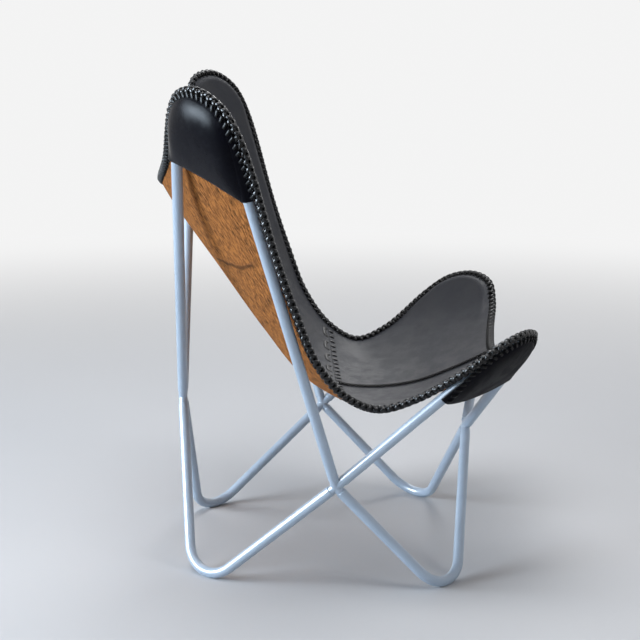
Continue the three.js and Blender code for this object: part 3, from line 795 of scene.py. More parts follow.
def side_signs(width):
    """Signs that carry a point between its own side and the left one, by the sign of its width."""
    return np.where(np.asarray(width)[..., None] < 0, MIRROR, 1.0)


def in_pocket(point, tube, pocket):
    """1 where a point lies along the stretch of a tube that its pocket covers, 0 elsewhere."""
    offset = point - tube.corner
    on_side = dot(offset, tube.across) > 0
    along = np.where(on_side, dot(offset, tube.side_arm), dot(offset, tube.middle_arm))
    limit = np.where(on_side, pocket["side_reach"], pocket["middle_reach"])
    outside, height = tube.measure(point)
    near = (np.abs(outside) < POCKET_REACH) & (np.abs(height) < POCKET_REACH)
    return (near & (along < limit)).astype(float)


def leather_place(half, run, share, inset, face):
    """Place and outward normal on one face of the leather at an inset from the laced edge.

    The outline is moved inwards by the inset and lifted off the tubes, on the sitter's side or round the
    pockets behind. The normal is square to the way inwards and the way onward.
    """
    def place_at(distance):
        point, _, inward, _ = run.at(share)
        point = point + inward * distance[..., None]
        signs = side_signs(point[..., 0])
        point = point * signs
        for kind, tube in half.tubes.items():
            if face > 0:
                point = half.lifted(point, tube, face, half.INNER_SLOPE)
            else:
                covered = in_pocket(point, tube, POCKETS[kind])[..., None]
                point = point + (half.lifted(point, tube, face, 1.0) - point) * covered
        return point * signs

    onward, step = run.at(share)[1], 0.0006
    slope = unit(place_at(inset + step) - place_at(inset - step))
    return place_at(inset), unit(np.cross(slope, onward)) * face


def tooth_laces(half, run, pitch, face, start, end):
    """Paths and upward vectors of the stitches that hold the braid: each slants from the braid over the cut
    edge to a hole in the leather, and sinks into it there."""
    count = int(round((end - start) * run.length / pitch))
    centre = start + (np.arange(count) + 0.5) * (end - start) / count
    top = max(STITCH_TOP + face * BRAID_LEAN, LACE_LIFT * STITCH_LEAST_TOP)
    rise = np.concatenate([top * STITCH_HIGH, LACE_LIFT * STITCH_LOW, [-STITCH_HOLE_DEPTH]])
    share = centre[:, None] + (STITCH_TRAVEL - 0.5) * STITCH_SLANT / run.length * face
    first = STITCH_START if face > 0 else STITCH_START_BEHIND
    inset = first + (STITCH_HOLE - first) * STITCH_TRAVEL
    share, inset = np.broadcast_arrays(share, inset)
    point, normal = leather_place(half, run, share, inset, face)
    return point + normal * rise[:, None], normal


def clear_of_tubes(half, path):
    """Which stitches behind the sling have no frame tube in their way, unless a pocket covers it there."""
    point = path * side_signs(path[..., 0])
    keep = np.ones(len(point), bool)
    for kind, tube in half.tubes.items():
        outside, height = tube.measure(point)
        near = (np.hypot(outside, height) < TUBE_RADIUS + STITCH_LACE[1]).any(axis=1)
        keep &= ~near | (in_pocket(point, tube, POCKETS[kind]) > 0).all(axis=1)
    return keep


def seam_line(half, stations):
    """Thin braid's centre line on the seat's seam, from behind the crease lacing to the front edge."""
    first = half.spine_crease + SEAM_INSET / half.spine.length
    share = np.linspace(first, 1 - SEAM_INSET / half.spine.length, stations)
    point, tangent = half.spine.at(share), half.spine.tangent(share)
    normal = unit(np.cross(np.array([1.0, 0, 0]), tangent))
    normal *= np.sign(normal[len(normal) // 2, 2])
    lift = LEATHER_THICKNESS / 2 + SEAM_RADIUS + SEAM_WEAVE + SEAM_LACE[1] / 2
    return point + normal * lift, normal


def crease_place(half, across, off, rise):
    """Places over the crease at across values, off it along the sheet and above its middle by lengths."""
    signs, width, step = side_signs(across), np.abs(across), 0.004
    centre = half.surface(width, 1)
    onward = unit(half.surface(width, 1 + step) - half.surface(width, 1 - step))
    aside = unit(half.surface(width + step, 1) - half.surface(width - step, 1))
    normal = unit(np.cross(onward, aside))
    normal = normal * np.where(normal[..., 2:] < 0, -1, 1)
    return (centre + onward * off[..., None] + normal * rise[..., None]) * signs, normal * signs


def crease_laces(half):
    """Paths and upward vectors of the lacing over the crease, which goes down into holes at both ends.

    On the back panel's side it lies in long loops: half a superellipse whose chord is on the crease. On the
    seat's side it lies in short slanted dashes. Both arch from hole to hole by a power of a sine.
    """
    fine = np.linspace(-CREASE_END, CREASE_END, CREASE_SAMPLES)
    line = crease_place(half, fine, np.zeros(CREASE_SAMPLES), np.zeros(CREASE_SAMPLES))[0]
    travel = np.concatenate([[0], np.linalg.norm(np.diff(line, axis=0), axis=1).cumsum()])
    turn = np.linspace(0, math.pi, CREASE_STATIONS)
    arch = np.sin(turn) ** CREASE_ARCH_POWER
    round_way = np.sign(np.cos(turn)) * np.abs(np.cos(turn)) ** CREASE_LOOP_POWER
    loop_depth = np.sin(turn) ** CREASE_LOOP_POWER
    shapes = (
        (CREASE_LOOP_PITCH, -CREASE_LOOP_LENGTH / 2 * round_way, -CREASE_LOOP_REACH * loop_depth),
        (CREASE_DASH_PITCH, CREASE_DASH_SLANT * (turn / math.pi - 0.5), CREASE_DASH_REACH * turn / math.pi),
    )
    paths, normals = [], []
    for pitch, along, off in shapes:
        count = int(travel[-1] / pitch)
        middle = (np.arange(count) + 0.5) * travel[-1] / count
        across = np.interp(middle[:, None] + along, travel, fine)
        off, rise = (np.broadcast_to(values, across.shape) for values in
                     (off, (LACE_LIFT + CREASE_HOLE_DEPTH) * arch - CREASE_HOLE_DEPTH))
        point, normal = crease_place(half, across, off, rise)
        paths.append(point)
        normals.append(normal)
    return np.vstack(paths), np.vstack(normals)


def feed(tree, socket, value):
    """Link a socket to the one given, or set its plain value."""
    if isinstance(value, bpy.types.NodeSocket):
        tree.links.new(value, socket)
    else:
        socket.default_value = value


def add_node(tree, kind, inputs=None, **settings):
    """New node with its settings; an input is a value, or a socket to link from."""
    node = tree.nodes.new(kind)
    for name, value in settings.items():
        setattr(node, name, value)
    for name, value in (inputs or {}).items():
        feed(tree, node.inputs[name], value)
    return node


def maths(tree, operation, *values):
    """Result of one operation on sockets or plain numbers."""
    return add_node(tree, "ShaderNodeMath", dict(enumerate(values)), operation=operation).outputs[0]


def noise(tree, vector, scale, detail, roughness=0.5):
    """Noise round a half, with the given number of waves to a metre."""
    return add_node(tree, "ShaderNodeTexNoise", {"Vector": vector, "Scale": scale, "Detail": detail,
                                                 "Roughness": roughness}).outputs


def ramp(tree, value, low, high, to_low=0.0, to_high=1.0):
    """Value carried smoothly from the range low to high onto the range to_low to to_high."""
    return add_node(tree, "ShaderNodeMapRange", {"Value": value, "From Min": low, "From Max": high,
                                                 "To Min": to_low, "To Max": to_high},
                    interpolation_type="SMOOTHSTEP").outputs["Result"]


def mix_colours(tree, factor, first, second):
    """Colour between two, from the first at a factor of 0 to the second at 1."""
    return add_node(tree, "ShaderNodeMix", {0: factor, 6: first, 7: second}, data_type="RGBA").outputs[2]


def sum_of(tree, *terms):
    """Sum of sockets, each times its weight."""
    total, *others = [maths(tree, "MULTIPLY", socket, weight) for socket, weight in terms]
    for other in others:
        total = maths(tree, "ADD", total, other)
    return total


def new_group(name, inputs, outputs):
    """Node group whose outputs are numbers, with the sockets of its two ends.

    An input is a plain number, or None for a vector.
    """
    tree = bpy.data.node_groups.new(name, "ShaderNodeTree")
    for socket, value in inputs.items():
        kind = "NodeSocketVector" if value is None else "NodeSocketFloat"
        made = tree.interface.new_socket(name=socket, in_out="INPUT", socket_type=kind)
        if value is not None:
            made.default_value = value
    for socket in outputs:
        tree.interface.new_socket(name=socket, in_out="OUTPUT", socket_type="NodeSocketFloat")
    return tree, tree.nodes.new("NodeGroupInput").outputs, tree.nodes.new("NodeGroupOutput").inputs


def pebbled_grain():
    """Pebbled leather grain: rounded cells of a warped lattice, with creases between them.

    Height is the distance to the nearest cell border, eased, plus a little fine noise, and Crease is one less
    the eased distance.
    """
    tree, source, sink = new_group("pebbled_grain", {"Vector": None, "Cells": 700.0, "Warp": 0.0012},
                                   ("Height", "Crease"))
    shift = add_node(tree, "ShaderNodeVectorMath", {0: noise(tree, source["Vector"], 180.0, 3.0)["Color"],
                                                    "Scale": source["Warp"]}, operation="SCALE")
    moved = add_node(tree, "ShaderNodeVectorMath", {0: source["Vector"], 1: shift.outputs[0]},
                     operation="ADD")
    cells = add_node(tree, "ShaderNodeTexVoronoi", {"Vector": moved.outputs[0], "Scale": source["Cells"]},
                     feature="DISTANCE_TO_EDGE")
    eased = ramp(tree, cells.outputs["Distance"], 0.0, 0.22)
    fine = noise(tree, source["Vector"], 2600.0, 2.0)["Fac"]
    feed(tree, sink["Height"], sum_of(tree, (eased, 0.85), (fine, 0.15)))
    feed(tree, sink["Crease"], ramp(tree, eased, 0.0, 1.0, 1.0, 0.0))
    return tree


def uneven_tone():
    """Uneven tone: Broad is large soft patches, Patch smaller ones, Fibre streaks along the second axis."""
    tree, source, sink = new_group("uneven_tone", {"Vector": None, "Size": 9.0}, ("Broad", "Patch", "Fibre"))
    broad = noise(tree, source["Vector"], source["Size"], 4.0, 0.55)["Fac"]
    patch = noise(tree, source["Vector"], maths(tree, "MULTIPLY", source["Size"], 5.0), 5.0, 0.6)["Fac"]
    stretched = add_node(tree, "ShaderNodeMapping", {"Vector": source["Vector"], "Scale": (1.0, 0.24, 1.0)})
    fibre = noise(tree, stretched.outputs[0], 270.0, 5.0, 0.65)["Fac"]
    for socket, value, low, high in (("Broad", broad, 0.33, 0.68), ("Patch", patch, 0.35, 0.68),
                                     ("Fibre", fibre, 0.3, 0.7)):
        feed(tree, sink[socket], ramp(tree, value, low, high))
    return tree


def place_group(tree, make, **inputs):
    """Outputs of a shared group, built the first time by the function that has the group's name."""
    group = bpy.data.node_groups.get(make.__name__) or make()
    return add_node(tree, "ShaderNodeGroup", inputs, node_tree=group).outputs


def new_material(name, **shader_values):
    """Material with a Principled shader, its plain values set on the shader's own sockets."""
    material = bpy.data.materials.new(name)
    material.use_nodes = True
    tree = material.node_tree
    shader = tree.nodes["Principled BSDF"]
    for socket, value in shader_values.items():
        shader.inputs[socket.replace("_", " ")].default_value = value
    places = add_node(tree, "ShaderNodeTexCoord").outputs
    return material, tree, shader.inputs, places


def set_bump(tree, shader, height, strength, distance):
    """Let a height bend the shader's normal."""
    bump = add_node(tree, "ShaderNodeBump", {"Height": height, "Strength": strength, "Distance": distance})
    feed(tree, shader["Normal"], bump.outputs["Normal"])


def darker(colour, share):
    """Colour times a share, which is over 1 where it gets lighter."""
    return tuple(channel * share for channel in colour[:3]) + (1.0,)


def powder_coat(name, settings):
    """Baked powder coat: even colour, a fine orange-peel texture and slightly uneven gloss."""
    material, tree, shader, places = new_material(name, Coat_Weight=0.25, Coat_Roughness=0.18)
    tone = place_group(tree, uneven_tone, Vector=places["Object"], Size=7.0)
    colour = mix_colours(tree, tone["Broad"], darker(settings.coat_colour, 0.93), settings.coat_colour)
    feed(tree, shader["Base Color"], colour)
    roughness = settings.coat_roughness
    feed(tree, shader["Roughness"], ramp(tree, tone["Patch"], 0, 1, roughness - 0.05, roughness + 0.05))
    set_bump(tree, shader, noise(tree, places["Object"], 700.0, 2.0)["Fac"], 0.2, 0.0001)
    return material


class LeatherFinish(NamedTuple):
    """How a smooth leather is finished: its roughness, grain cells to a metre, bump strength, gloss, how much
    its soft patches stand out, and the coordinates that its grain follows."""

    roughness: float
    cells: float
    bump: float
    gloss: float = 0.3
    waves: float = 0.5
    coordinates: str = "Object"


FINISHES = {
    "sling_smooth_side": LeatherFinish(roughness=0.46, cells=620.0, bump=0.25, gloss=0.32, waves=0.2),
    "sling_cut_edge": LeatherFinish(roughness=0.6, cells=900.0, bump=0.4),
    "rear_pocket_smooth_side": LeatherFinish(roughness=0.23, cells=700.0, bump=0.03, gloss=0.05, waves=0.2),
    "front_pocket_smooth_side": LeatherFinish(roughness=0.6, cells=700.0, bump=0.05, gloss=0.08),
    "pocket_inner_side": LeatherFinish(roughness=0.8, cells=900.0, bump=0.4, coordinates="UV"),
    "pocket_cut_edge": LeatherFinish(roughness=0.6, cells=900.0, bump=0.4),
    "lace_leather": LeatherFinish(roughness=0.22, cells=1100.0, bump=0.1, gloss=0.45, coordinates="UV"),
    "stitch_leather": LeatherFinish(roughness=0.4, cells=1100.0, bump=0.12, gloss=0.12, coordinates="UV"),
    "seam_lace_leather": LeatherFinish(roughness=0.34, cells=1100.0, bump=0.15, gloss=0.3, coordinates="UV"),
}


def smooth_leather(name, colour):
    """Dyed smooth-side leather: pebbled grain, uneven tone, and creases with a duller surface and painted
    shade.
    """
    finish = FINISHES[name]
    material, tree, shader, places = new_material(name, Specular_IOR_Level=finish.gloss)
    vector = places[finish.coordinates]
    grain = place_group(tree, pebbled_grain, Vector=vector, Cells=finish.cells)
    tone = place_group(tree, uneven_tone, Vector=vector, Size=6.0)
    worn = mix_colours(tree, tone["Broad"], darker(colour, 0.76), darker(colour, 1.24))
    fleck = mix_colours(tree, ramp(tree, tone["Patch"], 0, 1, 0.0, 0.35), worn, darker(colour, 1.4))
    # Painted shade: the colour darkens in the grain's creases.
    crease_shaded = mix_colours(tree, ramp(tree, grain["Crease"], 0, 1, 0.0, 0.5), fleck, darker(colour, 0.55))
    feed(tree, shader["Base Color"], crease_shaded)
    uneven = ramp(tree, tone["Patch"], 0, 1, finish.roughness - 0.06, finish.roughness + 0.06)
    feed(tree, shader["Roughness"], sum_of(tree, (uneven, 1.0), (grain["Crease"], 0.12)))
    height = sum_of(tree, (grain["Height"], 1.0), (tone["Patch"], finish.waves))
    set_bump(tree, shader, height, finish.bump, 0.0005)
    return material


def wrinkle_mark(tree, coordinates):
    """Line of one long wrinkle in the flat leather: 1 in its middle, wavy by a noise, gone at both ends."""
    axes = add_node(tree, "ShaderNodeSeparateXYZ", {"Vector": coordinates}).outputs
    wander = noise(tree, coordinates, WRINKLE_WAVES, 2.0)["Fac"]
    course = sum_of(tree, (axes["X"], WRINKLE_SLOPE), (wander, WRINKLE_WANDER))
    offset = maths(tree, "SUBTRACT", axes["Y"], course)
    apart = maths(tree, "ABSOLUTE", maths(tree, "SUBTRACT", offset, WRINKLE_START))
    line = ramp(tree, apart, 0.0, WRINKLE_WIDTH, 1.0, 0.0)
    for near, gone in WRINKLE_ENDS:
        line = maths(tree, "MULTIPLY", line, ramp(tree, axes["X"], near, gone, 1.0, 0.0))
    return line


def suede_leather(colour):
    """Flesh side of the leather: tan nap with soft patches, streaks of fibre and a few darker stains."""
    material, tree, shader, places = new_material(
        "sling_flesh_side", Specular_IOR_Level=0.04, Sheen_Weight=0.02, Sheen_Roughness=0.6, Roughness=0.9)
    tone = place_group(tree, uneven_tone, Vector=places["UV"], Size=8.0)
    nap = noise(tree, places["UV"], 480.0, 5.0)["Fac"]
    wrinkle = wrinkle_mark(tree, places["UV"])
    leather = mix_colours(tree, tone["Broad"], darker(colour, 0.42), darker(colour, 1.2))
    # The last mark, the wrinkle, darkens the colour along its line: painted shade.
    for mark, low, high, strength, shade in (
            (tone["Patch"], 0.2, 0.9, 1.0, 0.3), (tone["Fibre"], 0.1, 0.9, 1.0, 2.6),
            (nap, 0.42, 0.62, 0.5, 0.5), (wrinkle, 0.0, 1.0, 0.7, 0.18)):
        amount = ramp(tree, mark, low, high, 0.0, strength)
        leather = mix_colours(tree, amount, leather, darker(colour, shade))
    feed(tree, shader["Base Color"], leather)
    height = sum_of(tree, (nap, 0.9), (tone["Fibre"], 0.9), (tone["Patch"], 1.2), (wrinkle, -1.5))
    set_bump(tree, shader, height, 0.8, 0.0012)
    return material


class FrameSettings(bpy.types.PropertyGroup):
    coat_colour: bpy.props.FloatVectorProperty(
        name="Coat colour", description="Colour of the powder coat on the tubes and connectors", size=4,
        subtype="COLOR", default=(0.41, 0.50, 0.61, 1.0))
    coat_roughness: bpy.props.FloatProperty(
        name="Coat roughness", description="How matt the powder coat is", default=0.36, subtype="FACTOR")
    bend_oval: bpy.props.FloatProperty(
        name="Bend oval", description="How far from round the tubes are in the middle of their bends",
        default=0.02, subtype="FACTOR")


class SlingSettings(bpy.types.PropertyGroup):
    leather_colour: bpy.props.FloatVectorProperty(
        name="Leather colour", description="Colour of the smooth side", size=4, subtype="COLOR",
        default=(0.015, 0.0165, 0.0225, 1.0))
    flesh_colour: bpy.props.FloatVectorProperty(
        name="Flesh colour", description="Colour of the rough side, under the sling", size=4, subtype="COLOR",
        default=(0.205, 0.077, 0.0185, 1.0))
    pocket_colour: bpy.props.FloatVectorProperty(
        name="Pocket colour", description="Colour of the moulded pockets", size=4, subtype="COLOR",
        default=(0.003, 0.003, 0.0055, 1.0))
    lace_colour: bpy.props.FloatVectorProperty(
        name="Lace colour", description="Colour of the braids and stitches", size=4, subtype="COLOR",
        default=(0.003, 0.003, 0.0036, 1.0))
    braid_pitch: bpy.props.FloatProperty(
        name="Braid pitch", description="Length of edge in which a strand goes once round the braid",
        default=0.027, unit="LENGTH")
    braid_radius: bpy.props.FloatProperty(
        name="Braid radius", description="Mean distance of the strands from the middle of the edge braid",
        default=0.0048, unit="LENGTH")
    stitch_pitch: bpy.props.FloatProperty(
        name="Stitch pitch", description="Length of edge from one stitch to the next", default=0.0125,
        unit="LENGTH")


class StudioSettings(bpy.types.PropertyGroup):
    floor_colour: bpy.props.FloatVectorProperty(
        name="Floor colour", description="Colour of the floor and backdrop", size=4, subtype="COLOR",
        default=(0.56, 0.56, 0.57, 1.0))
    light_power: bpy.props.FloatProperty(
        name="Light power", description="Power of which each softbox gives its share", default=112.0,
        unit="POWER")
    world_strength: bpy.props.FloatProperty(
        name="World strength", description="Strength of the even light from all round", default=0.2)
    backdrop_strength: bpy.props.FloatProperty(
        name="Backdrop strength", description="How bright the backdrop shows, where 1 is white", default=0.9)


class ChairFrameTubes(bpy.types.Operator):
    """Make the eight bent tubes of the frame."""

    bl_idname = "chair.frame_tubes"
    bl_label = "Frame tubes"
    bl_options = {"REGISTER", "UNDO"}

    def execute(self, context):
        settings = context.scene.chair_frame
        coat = powder_coat("powder_coat", settings)
        for word, tubes in TUBES.items():
            for kind, tube in tubes.items():
                grid = steel_tube_grid(tube, settings.bend_oval)
                rows, sides = grid.shape[:2]
                vertices = grid.reshape(-1, 3)
                # The feet are pressed flat where they stand on the floor.
                vertices[:, 2] = np.maximum(vertices[:, 2], 0)
                faces = closed_grid_quads(rows, sides).tolist()
                piece = add_object(f"{kind}_{word}_tube", vertices, faces, [coat])
                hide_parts(f"{kind}_{word}")
        return {"FINISHED"}


class ChairCrossConnectors(bpy.types.Operator):
    """Make the four welded connectors that the tubes are pushed onto."""

    bl_idname = "chair.cross_connectors"
    bl_label = "Cross connectors"
    bl_options = {"REGISTER", "UNDO"}

    def execute(self, context):
        coat = powder_coat("connector_coat", context.scene.chair_frame)
        crossings = {
            f"cross_{word}": (placed(SIDE_CROSSING, side),
                              [(-tube.side_arm, tube.hub_reaches[0]) for tube in TUBES[word].values()])
            for word, side in SIDES.items()}
        for name, crossing, kinds in (("cross_back", BACK_CROSSING, ("foot_rear", "top_rear")),
                                      ("cross_front", FRONT_CROSSING, ("foot_front", "top_front"))):
            tubes = [TUBES[word][kind] for word in SIDES for kind in kinds]
            crossings[name] = (placed(crossing), [(-tube.middle_arm, tube.hub_reaches[1]) for tube in tubes])
        for name, (centre, arms) in crossings.items():
            vertices, faces = connector_solid(centre, arms)
            piece = add_object(f"{name}_weldment", vertices, faces, [coat])
            union = piece.modifiers.new("union", "REMESH")
            union.mode = "VOXEL"
            union.voxel_size = WELD_VOXEL
            soften = piece.modifiers.new("weld", "SMOOTH")
            soften.iterations = WELD_SMOOTHING
            apply_modifiers(piece)
            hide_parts(name)
        return {"FINISHED"}


class ChairSlingPanels(bpy.types.Operator):
    """Make the back panel and the two seat panels."""

    bl_idname = "chair.sling_panels"
    bl_label = "Sling panels"
    bl_options = {"REGISTER", "UNDO"}

    def execute(self, context):
        settings = context.scene.chair_sling
        materials = [smooth_leather("sling_smooth_side", settings.leather_colour),
                     suede_leather(settings.flesh_colour),
                     smooth_leather("sling_cut_edge", darker(settings.leather_colour, 0.6))]
        half = SlingHalf()
        rows, columns = BACK_GRID
        left = half.surface(across_shares(columns), spaced(rows, 0, 1, SLING_CROWDING)[:, None])
        back = np.concatenate([(left * MIRROR)[:, :0:-1], left], axis=1)
        rows, columns = SEAT_GRID
        seat = half.surface(across_shares(columns), spaced(rows, 1, 2, SLING_CROWDING)[:, None])
        seat[..., 0] += SEAM_GAP / 2 * (1 - across_shares(columns))
        seat[0] += unit(seat[1] - seat[0]) * SEAM_GAP
        for node, grid in (("back_panel", back[:, ::-1]), ("seat_panel_left", seat[:, ::-1]),
                           ("seat_panel_right", seat * MIRROR)):
            piece = add_sheet(f"{node}_leather", grid, materials)
            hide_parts(node)
            declare_sheet(grid)
        return {"FINISHED"}


class ChairTipPockets(bpy.types.Operator):
    """Make the four pockets behind the tips of the sling."""

    bl_idname = "chair.tip_pockets"
    bl_label = "Tip pockets"
    bl_options = {"REGISTER", "UNDO"}

    def execute(self, context):
        settings = context.scene.chair_sling
        inside = smooth_leather("pocket_inner_side", darker(settings.flesh_colour, 0.2))
        rim = smooth_leather("pocket_cut_edge", darker(settings.leather_colour, 0.8))
        leathers = {kind: smooth_leather(f"{kind}_pocket_smooth_side", settings.pocket_colour)
                    for kind in POCKETS}
        for word, tubes in TUBES.items():
            for kind, sizes in POCKETS.items():
                tube = tubes[f"top_{kind}"]
                grid = pocket_grid(tube, **sizes)
                middle = grid_normals(grid)[len(grid) // 2, POCKET_STATIONS // 2]
                if dot(middle, tube.normal * -tube.frontward) < 0:
                    grid = grid[:, ::-1]
                piece = add_sheet(f"pocket_{kind}_{word}_leather", grid, [leathers[kind], inside, rim])
                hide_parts(f"pocket_{kind}_{word}")
                declare_sheet(grid)
        return {"FINISHED"}


class ChairEdgeLacing(bpy.types.Operator):
    """Make the braid all round the sling's edge and the stitches that hold it."""

    bl_idname = "chair.edge_lacing"
    bl_label = "Edge lacing"
    bl_options = {"REGISTER", "UNDO"}

    def execute(self, context):
        settings = context.scene.chair_sling
        lace = smooth_leather("lace_leather", settings.lace_colour)
        # The stitches' lace is a darker copy of the braid's lace, as painted shade, with a duller gloss.
        shaded_stitch_lace = smooth_leather("stitch_leather", darker(settings.lace_colour, 0.6))
        half = SlingHalf()
        run = EdgeRun(half)
        braid = Braid(BRAID_STRANDS, settings.braid_pitch, settings.braid_radius, BRAID_WEAVE)
        for word, start, end in (("left", 0.0, 0.5), ("right", 0.5, 1.0)):
            length = (end - start) * run.length
            point, _, inward, normal = run.at(np.linspace(start, end, braid.stations(length)))
            point = point + BRAID_LEAN * normal + BRAID_INSET * inward
            core = add_strands(f"edge_braid_{word}_core", point[None, ::BRAID_CORE_STEP],
                               normal[None, ::BRAID_CORE_STEP], ring_section(LACE_SIDES) * BRAID_CORE_RADIUS,
                               lace)
            piece = braid.laid(f"edge_braid_{word}", length, point, inward, normal, BRAID_LACE, lace)
            paths, normals = [], []
            for face in (1, -1):
                path, upward = tooth_laces(half, run, settings.stitch_pitch, face, start, end)
                keep = slice(None) if face > 0 else clear_of_tubes(half, path)
                paths.append(path[keep])
                normals.append(upward[keep])
            stitches = add_strands(f"edge_stitches_{word}", np.vstack(paths), np.vstack(normals),
                                   lace_section(*STITCH_LACE), shaded_stitch_lace)
            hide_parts(f"edge_lacing_{word}")
        return {"FINISHED"}


class ChairSeamLacing(bpy.types.Operator):
    """Make the thin braid on the seat's seam and the loops and dashes over the crease."""

    bl_idname = "chair.seam_lacing"
    bl_label = "Seam lacing"
    bl_options = {"REGISTER", "UNDO"}

    def execute(self, context):
        lace = smooth_leather("seam_lace_leather", context.scene.chair_sling.lace_colour)
        half = SlingHalf()
        braid = Braid(SEAM_STRANDS, SEAM_PITCH, SEAM_RADIUS, SEAM_WEAVE)
        length = half.spine.length * (1 - half.spine_crease) - 2 * SEAM_INSET
        point, normal = seam_line(half, braid.stations(length))
        seam = braid.laid("seat_seam_braid", length, point, np.array([1.0, 0, 0]), normal, SEAM_LACE, lace)
        path, upward = crease_laces(half)
        crease = add_strands("crease_stitches", path, upward, lace_section(*CREASE_LACE), lace)
        for piece, node in ((seam, "seat_seam_lacing"), (crease, "crease_lacing")):
            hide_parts(node)
        return {"FINISHED"}


def placed_object(name, data, place, axes):
    """Object at a place, linked to the scene and turned so that its own axes lie along three directions."""
    made = bpy.data.objects.new(name, data)
    made.matrix_world = Matrix.Translation(place) @ Matrix(np.column_stack(axes).tolist()).to_4x4()
    bpy.context.scene.collection.objects.link(made)
    return made


def camera_axes(azimuth, elevation, roll):
    """Right, up and backward directions of a camera at an azimuth round the chair and a height above it."""
    azimuth, elevation, roll = map(math.radians, (azimuth, elevation, roll))
    back = np.array([math.sin(azimuth) * math.cos(elevation), -math.cos(azimuth) * math.cos(elevation),
                     math.sin(elevation)])
    right = unit(np.cross(-back, (0, 0, 1)))
    up = np.cross(right, -back)
    return math.cos(roll) * right + math.sin(roll) * up, math.cos(roll) * up - math.sin(roll) * right, back


class Softbox(NamedTuple):
    """A rectangular light: its place, width and height, share of the light power, colour, and whether it
    lights the pieces or shows in their gloss alone."""

    place: tuple
    size: tuple
    share: float
    colour: tuple = (1.0, 1.0, 1.0)
    lights: bool = True


SOFTBOXES = {
    "window_softbox": Softbox((-0.9, 3.2, 1.2), (2.1, 0.9), 1.15, (0.78, 0.89, 1.0)),
    "shine_softbox": Softbox((-0.9, 3.2, 1.2), (2.1, 0.9), 5.5, (0.72, 0.86, 1.0), lights=False),
    "top_softbox": Softbox((-0.3, 0.4, 3.3), (1.8, 1.8), 0.5),
    "front_softbox": Softbox((-1.9, -2.3, 2.3), (1.2, 1.2), 0.2),
    "far_softbox": Softbox((2.4, -0.6, 2.4), (1.2, 1.2), 0.25),
}


def add_softbox(name, box, power):
    """Area light of the softbox's size at its place, turned towards the chair."""
    light = bpy.data.lights.new(name, "AREA")
    light.shape = "RECTANGLE"
    light.size, light.size_y = box.size
    light.energy, light.color = power * box.share, box.colour
    away = unit(np.array(box.place) - SOFTBOX_TARGET)
    aside = unit(np.cross((0.0, 0.0, 1.0), away))
    placed_object(name, light, box.place, (aside, np.cross(away, aside), away)).visible_diffuse = box.lights


def background_seen(tree):
    """1 for rays that see the surroundings, straight or in gloss or glass, 0 for those that only light."""
    path = add_node(tree, "ShaderNodeLightPath").outputs
    straight = maths(tree, "MAXIMUM", path["Is Camera Ray"], path["Is Glossy Ray"])
    return maths(tree, "MAXIMUM", straight, path["Is Transmission Ray"])


def studio_world(settings):
    """Even pale light from all round, which shows as bright as the backdrop where a ray sees it."""
    world = bpy.data.worlds.new("studio_world")
    world.use_nodes = True
    tree = world.node_tree
    background = tree.nodes["Background"].inputs
    background["Color"].default_value = WORLD_COLOUR
    feed(tree, background["Strength"], ramp(tree, background_seen(tree), 0.0, 1.0, settings.world_strength,
                                            settings.backdrop_strength))
    return world


def floor_material(settings):
    """Pale matt floor that fades with distance into a backdrop, which glows for the rays that see it."""
    material, tree, shader, places = new_material("studio_floor", Specular_IOR_Level=0.1, Roughness=0.85)
    grain = noise(tree, places["Object"], 3.0, 2.0)["Fac"]
    colour = mix_colours(tree, grain, darker(settings.floor_colour, 0.985), settings.floor_colour)
    feed(tree, shader["Base Color"], colour)
    level = add_node(tree, "ShaderNodeVectorMath", {0: places["Object"], 1: (1, 1, 0)}, operation="MULTIPLY")
    distance = add_node(tree, "ShaderNodeVectorMath", {0: level.outputs[0]}, operation="LENGTH")
    far = ramp(tree, distance.outputs["Value"], *BACKDROP_FADE)
    across = add_node(tree, "ShaderNodeSeparateXYZ", {"Vector": places["Object"]}).outputs["X"]
    strength = ramp(tree, across, *BACKDROP_TURN, settings.backdrop_strength * BACKDROP_NEAR_SHARE,
                    settings.backdrop_strength)
    glow = add_node(tree, "ShaderNodeEmission", {"Strength": strength})
    mix = add_node(tree, "ShaderNodeMixShader", {
        0: maths(tree, "MULTIPLY", far, background_seen(tree)),
        1: tree.nodes["Principled BSDF"].outputs[0], 2: glow.outputs[0]})
    feed(tree, tree.nodes["Material Output"].inputs["Surface"], mix.outputs[0])
    return material


def studio_dish(settings):
    """Round floor that curves up into a wall: a profile turned about the upright axis, and a middle disc."""
    turn = np.linspace(0, math.pi / 2, DISH_STATIONS)
    curve = np.stack([DISH_RADIUS + DISH_FILLET * np.sin(turn), DISH_FILLET * (1 - np.cos(turn))], axis=1)
    profile = np.vstack([[(DISH_RADIUS / 2, 0.0)], curve, [(curve[-1, 0], DISH_HEIGHT)]])
    rows = len(profile)
    grid = np.concatenate([profile[:, None, :1] * ring_section(DISH_SIDES),
                           np.broadcast_to(profile[:, None, 1:], (rows, DISH_SIDES, 1))], axis=-1)
    faces = [list(range(DISH_SIDES))] + grid_quads(rows, DISH_SIDES, wrap=True)[:, ::-1].tolist()
    return add_object("studio_dish", grid.reshape(-1, 3), faces, [floor_material(settings)], rides=False)


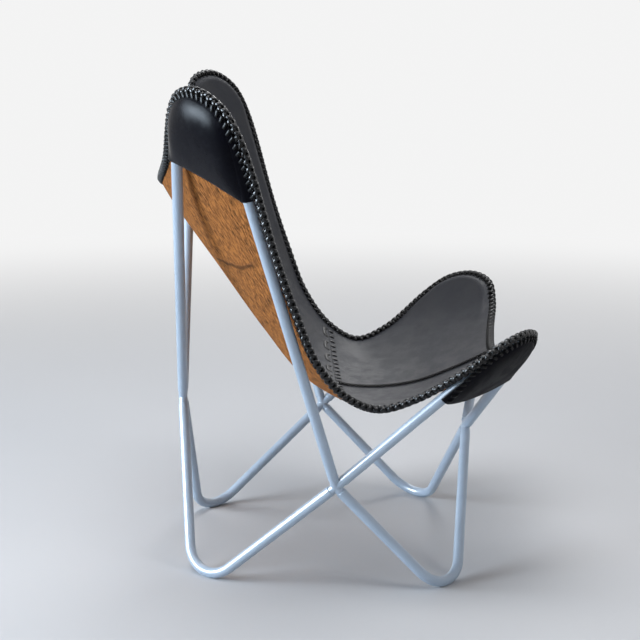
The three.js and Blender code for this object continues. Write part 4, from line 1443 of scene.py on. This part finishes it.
class ChairStudio(bpy.types.Operator):
    """Make the floor, the softboxes and the camera."""

    bl_idname = "chair.studio"
    bl_label = "Studio"
    bl_options = {"REGISTER", "UNDO"}

    def execute(self, context):
        scene = context.scene
        settings = scene.chair_studio
        floor = studio_dish(settings)
        for name, box in SOFTBOXES.items():
            add_softbox(name, box, settings.light_power)
        scene.world = studio_world(settings)
        scene.view_settings.view_transform = "Standard"
        lens = bpy.data.cameras.new("photo_camera")
        lens.sensor_width, lens.lens = SENSOR_WIDTH, SENSOR_WIDTH * CAMERA_FOCAL_SHARE
        scene.camera = placed_object("photo_camera", lens, CAMERA_PLACE, camera_axes(*CAMERA_ANGLES))
        return {"FINISHED"}


class ChairPanel(bpy.types.Panel):
    """Sizes, colours and the buttons that make the pieces."""

    bl_idname = "VIEW3D_PT_sling_chair"
    bl_label = "Sling Chair"
    bl_space_type = "VIEW_3D"
    bl_region_type = "UI"
    bl_category = "Sling Chair"

    def draw(self, context):
        for settings in (context.scene.chair_frame, context.scene.chair_sling, context.scene.chair_studio):
            for name in settings.__annotations__:
                self.layout.prop(settings, name)
        for operator in OPERATORS:
            self.layout.operator(operator.bl_idname)


OPERATORS = (ChairFrameTubes, ChairCrossConnectors, ChairSlingPanels, ChairTipPockets, ChairEdgeLacing,
             ChairSeamLacing, ChairStudio)
CLASSES = (FrameSettings, SlingSettings, StudioSettings) + OPERATORS + (ChairPanel,)


def register():
    for added in CLASSES:
        bpy.utils.register_class(added)
    bpy.types.Scene.chair_frame = bpy.props.PointerProperty(type=FrameSettings)
    bpy.types.Scene.chair_sling = bpy.props.PointerProperty(type=SlingSettings)
    bpy.types.Scene.chair_studio = bpy.props.PointerProperty(type=StudioSettings)


def unregister():
    for name in ("chair_studio", "chair_sling", "chair_frame"):
        delattr(bpy.types.Scene, name)
    for added in reversed(CLASSES):
        bpy.utils.unregister_class(added)


def main():
    register()
    bpy.ops.chair.frame_tubes()
    bpy.ops.chair.cross_connectors()
    bpy.ops.chair.sling_panels()
    bpy.ops.chair.tip_pockets()
    bpy.ops.chair.edge_lacing()
    bpy.ops.chair.seam_lacing()
    bpy.ops.chair.studio()


if __name__ == "__main__":
    main()
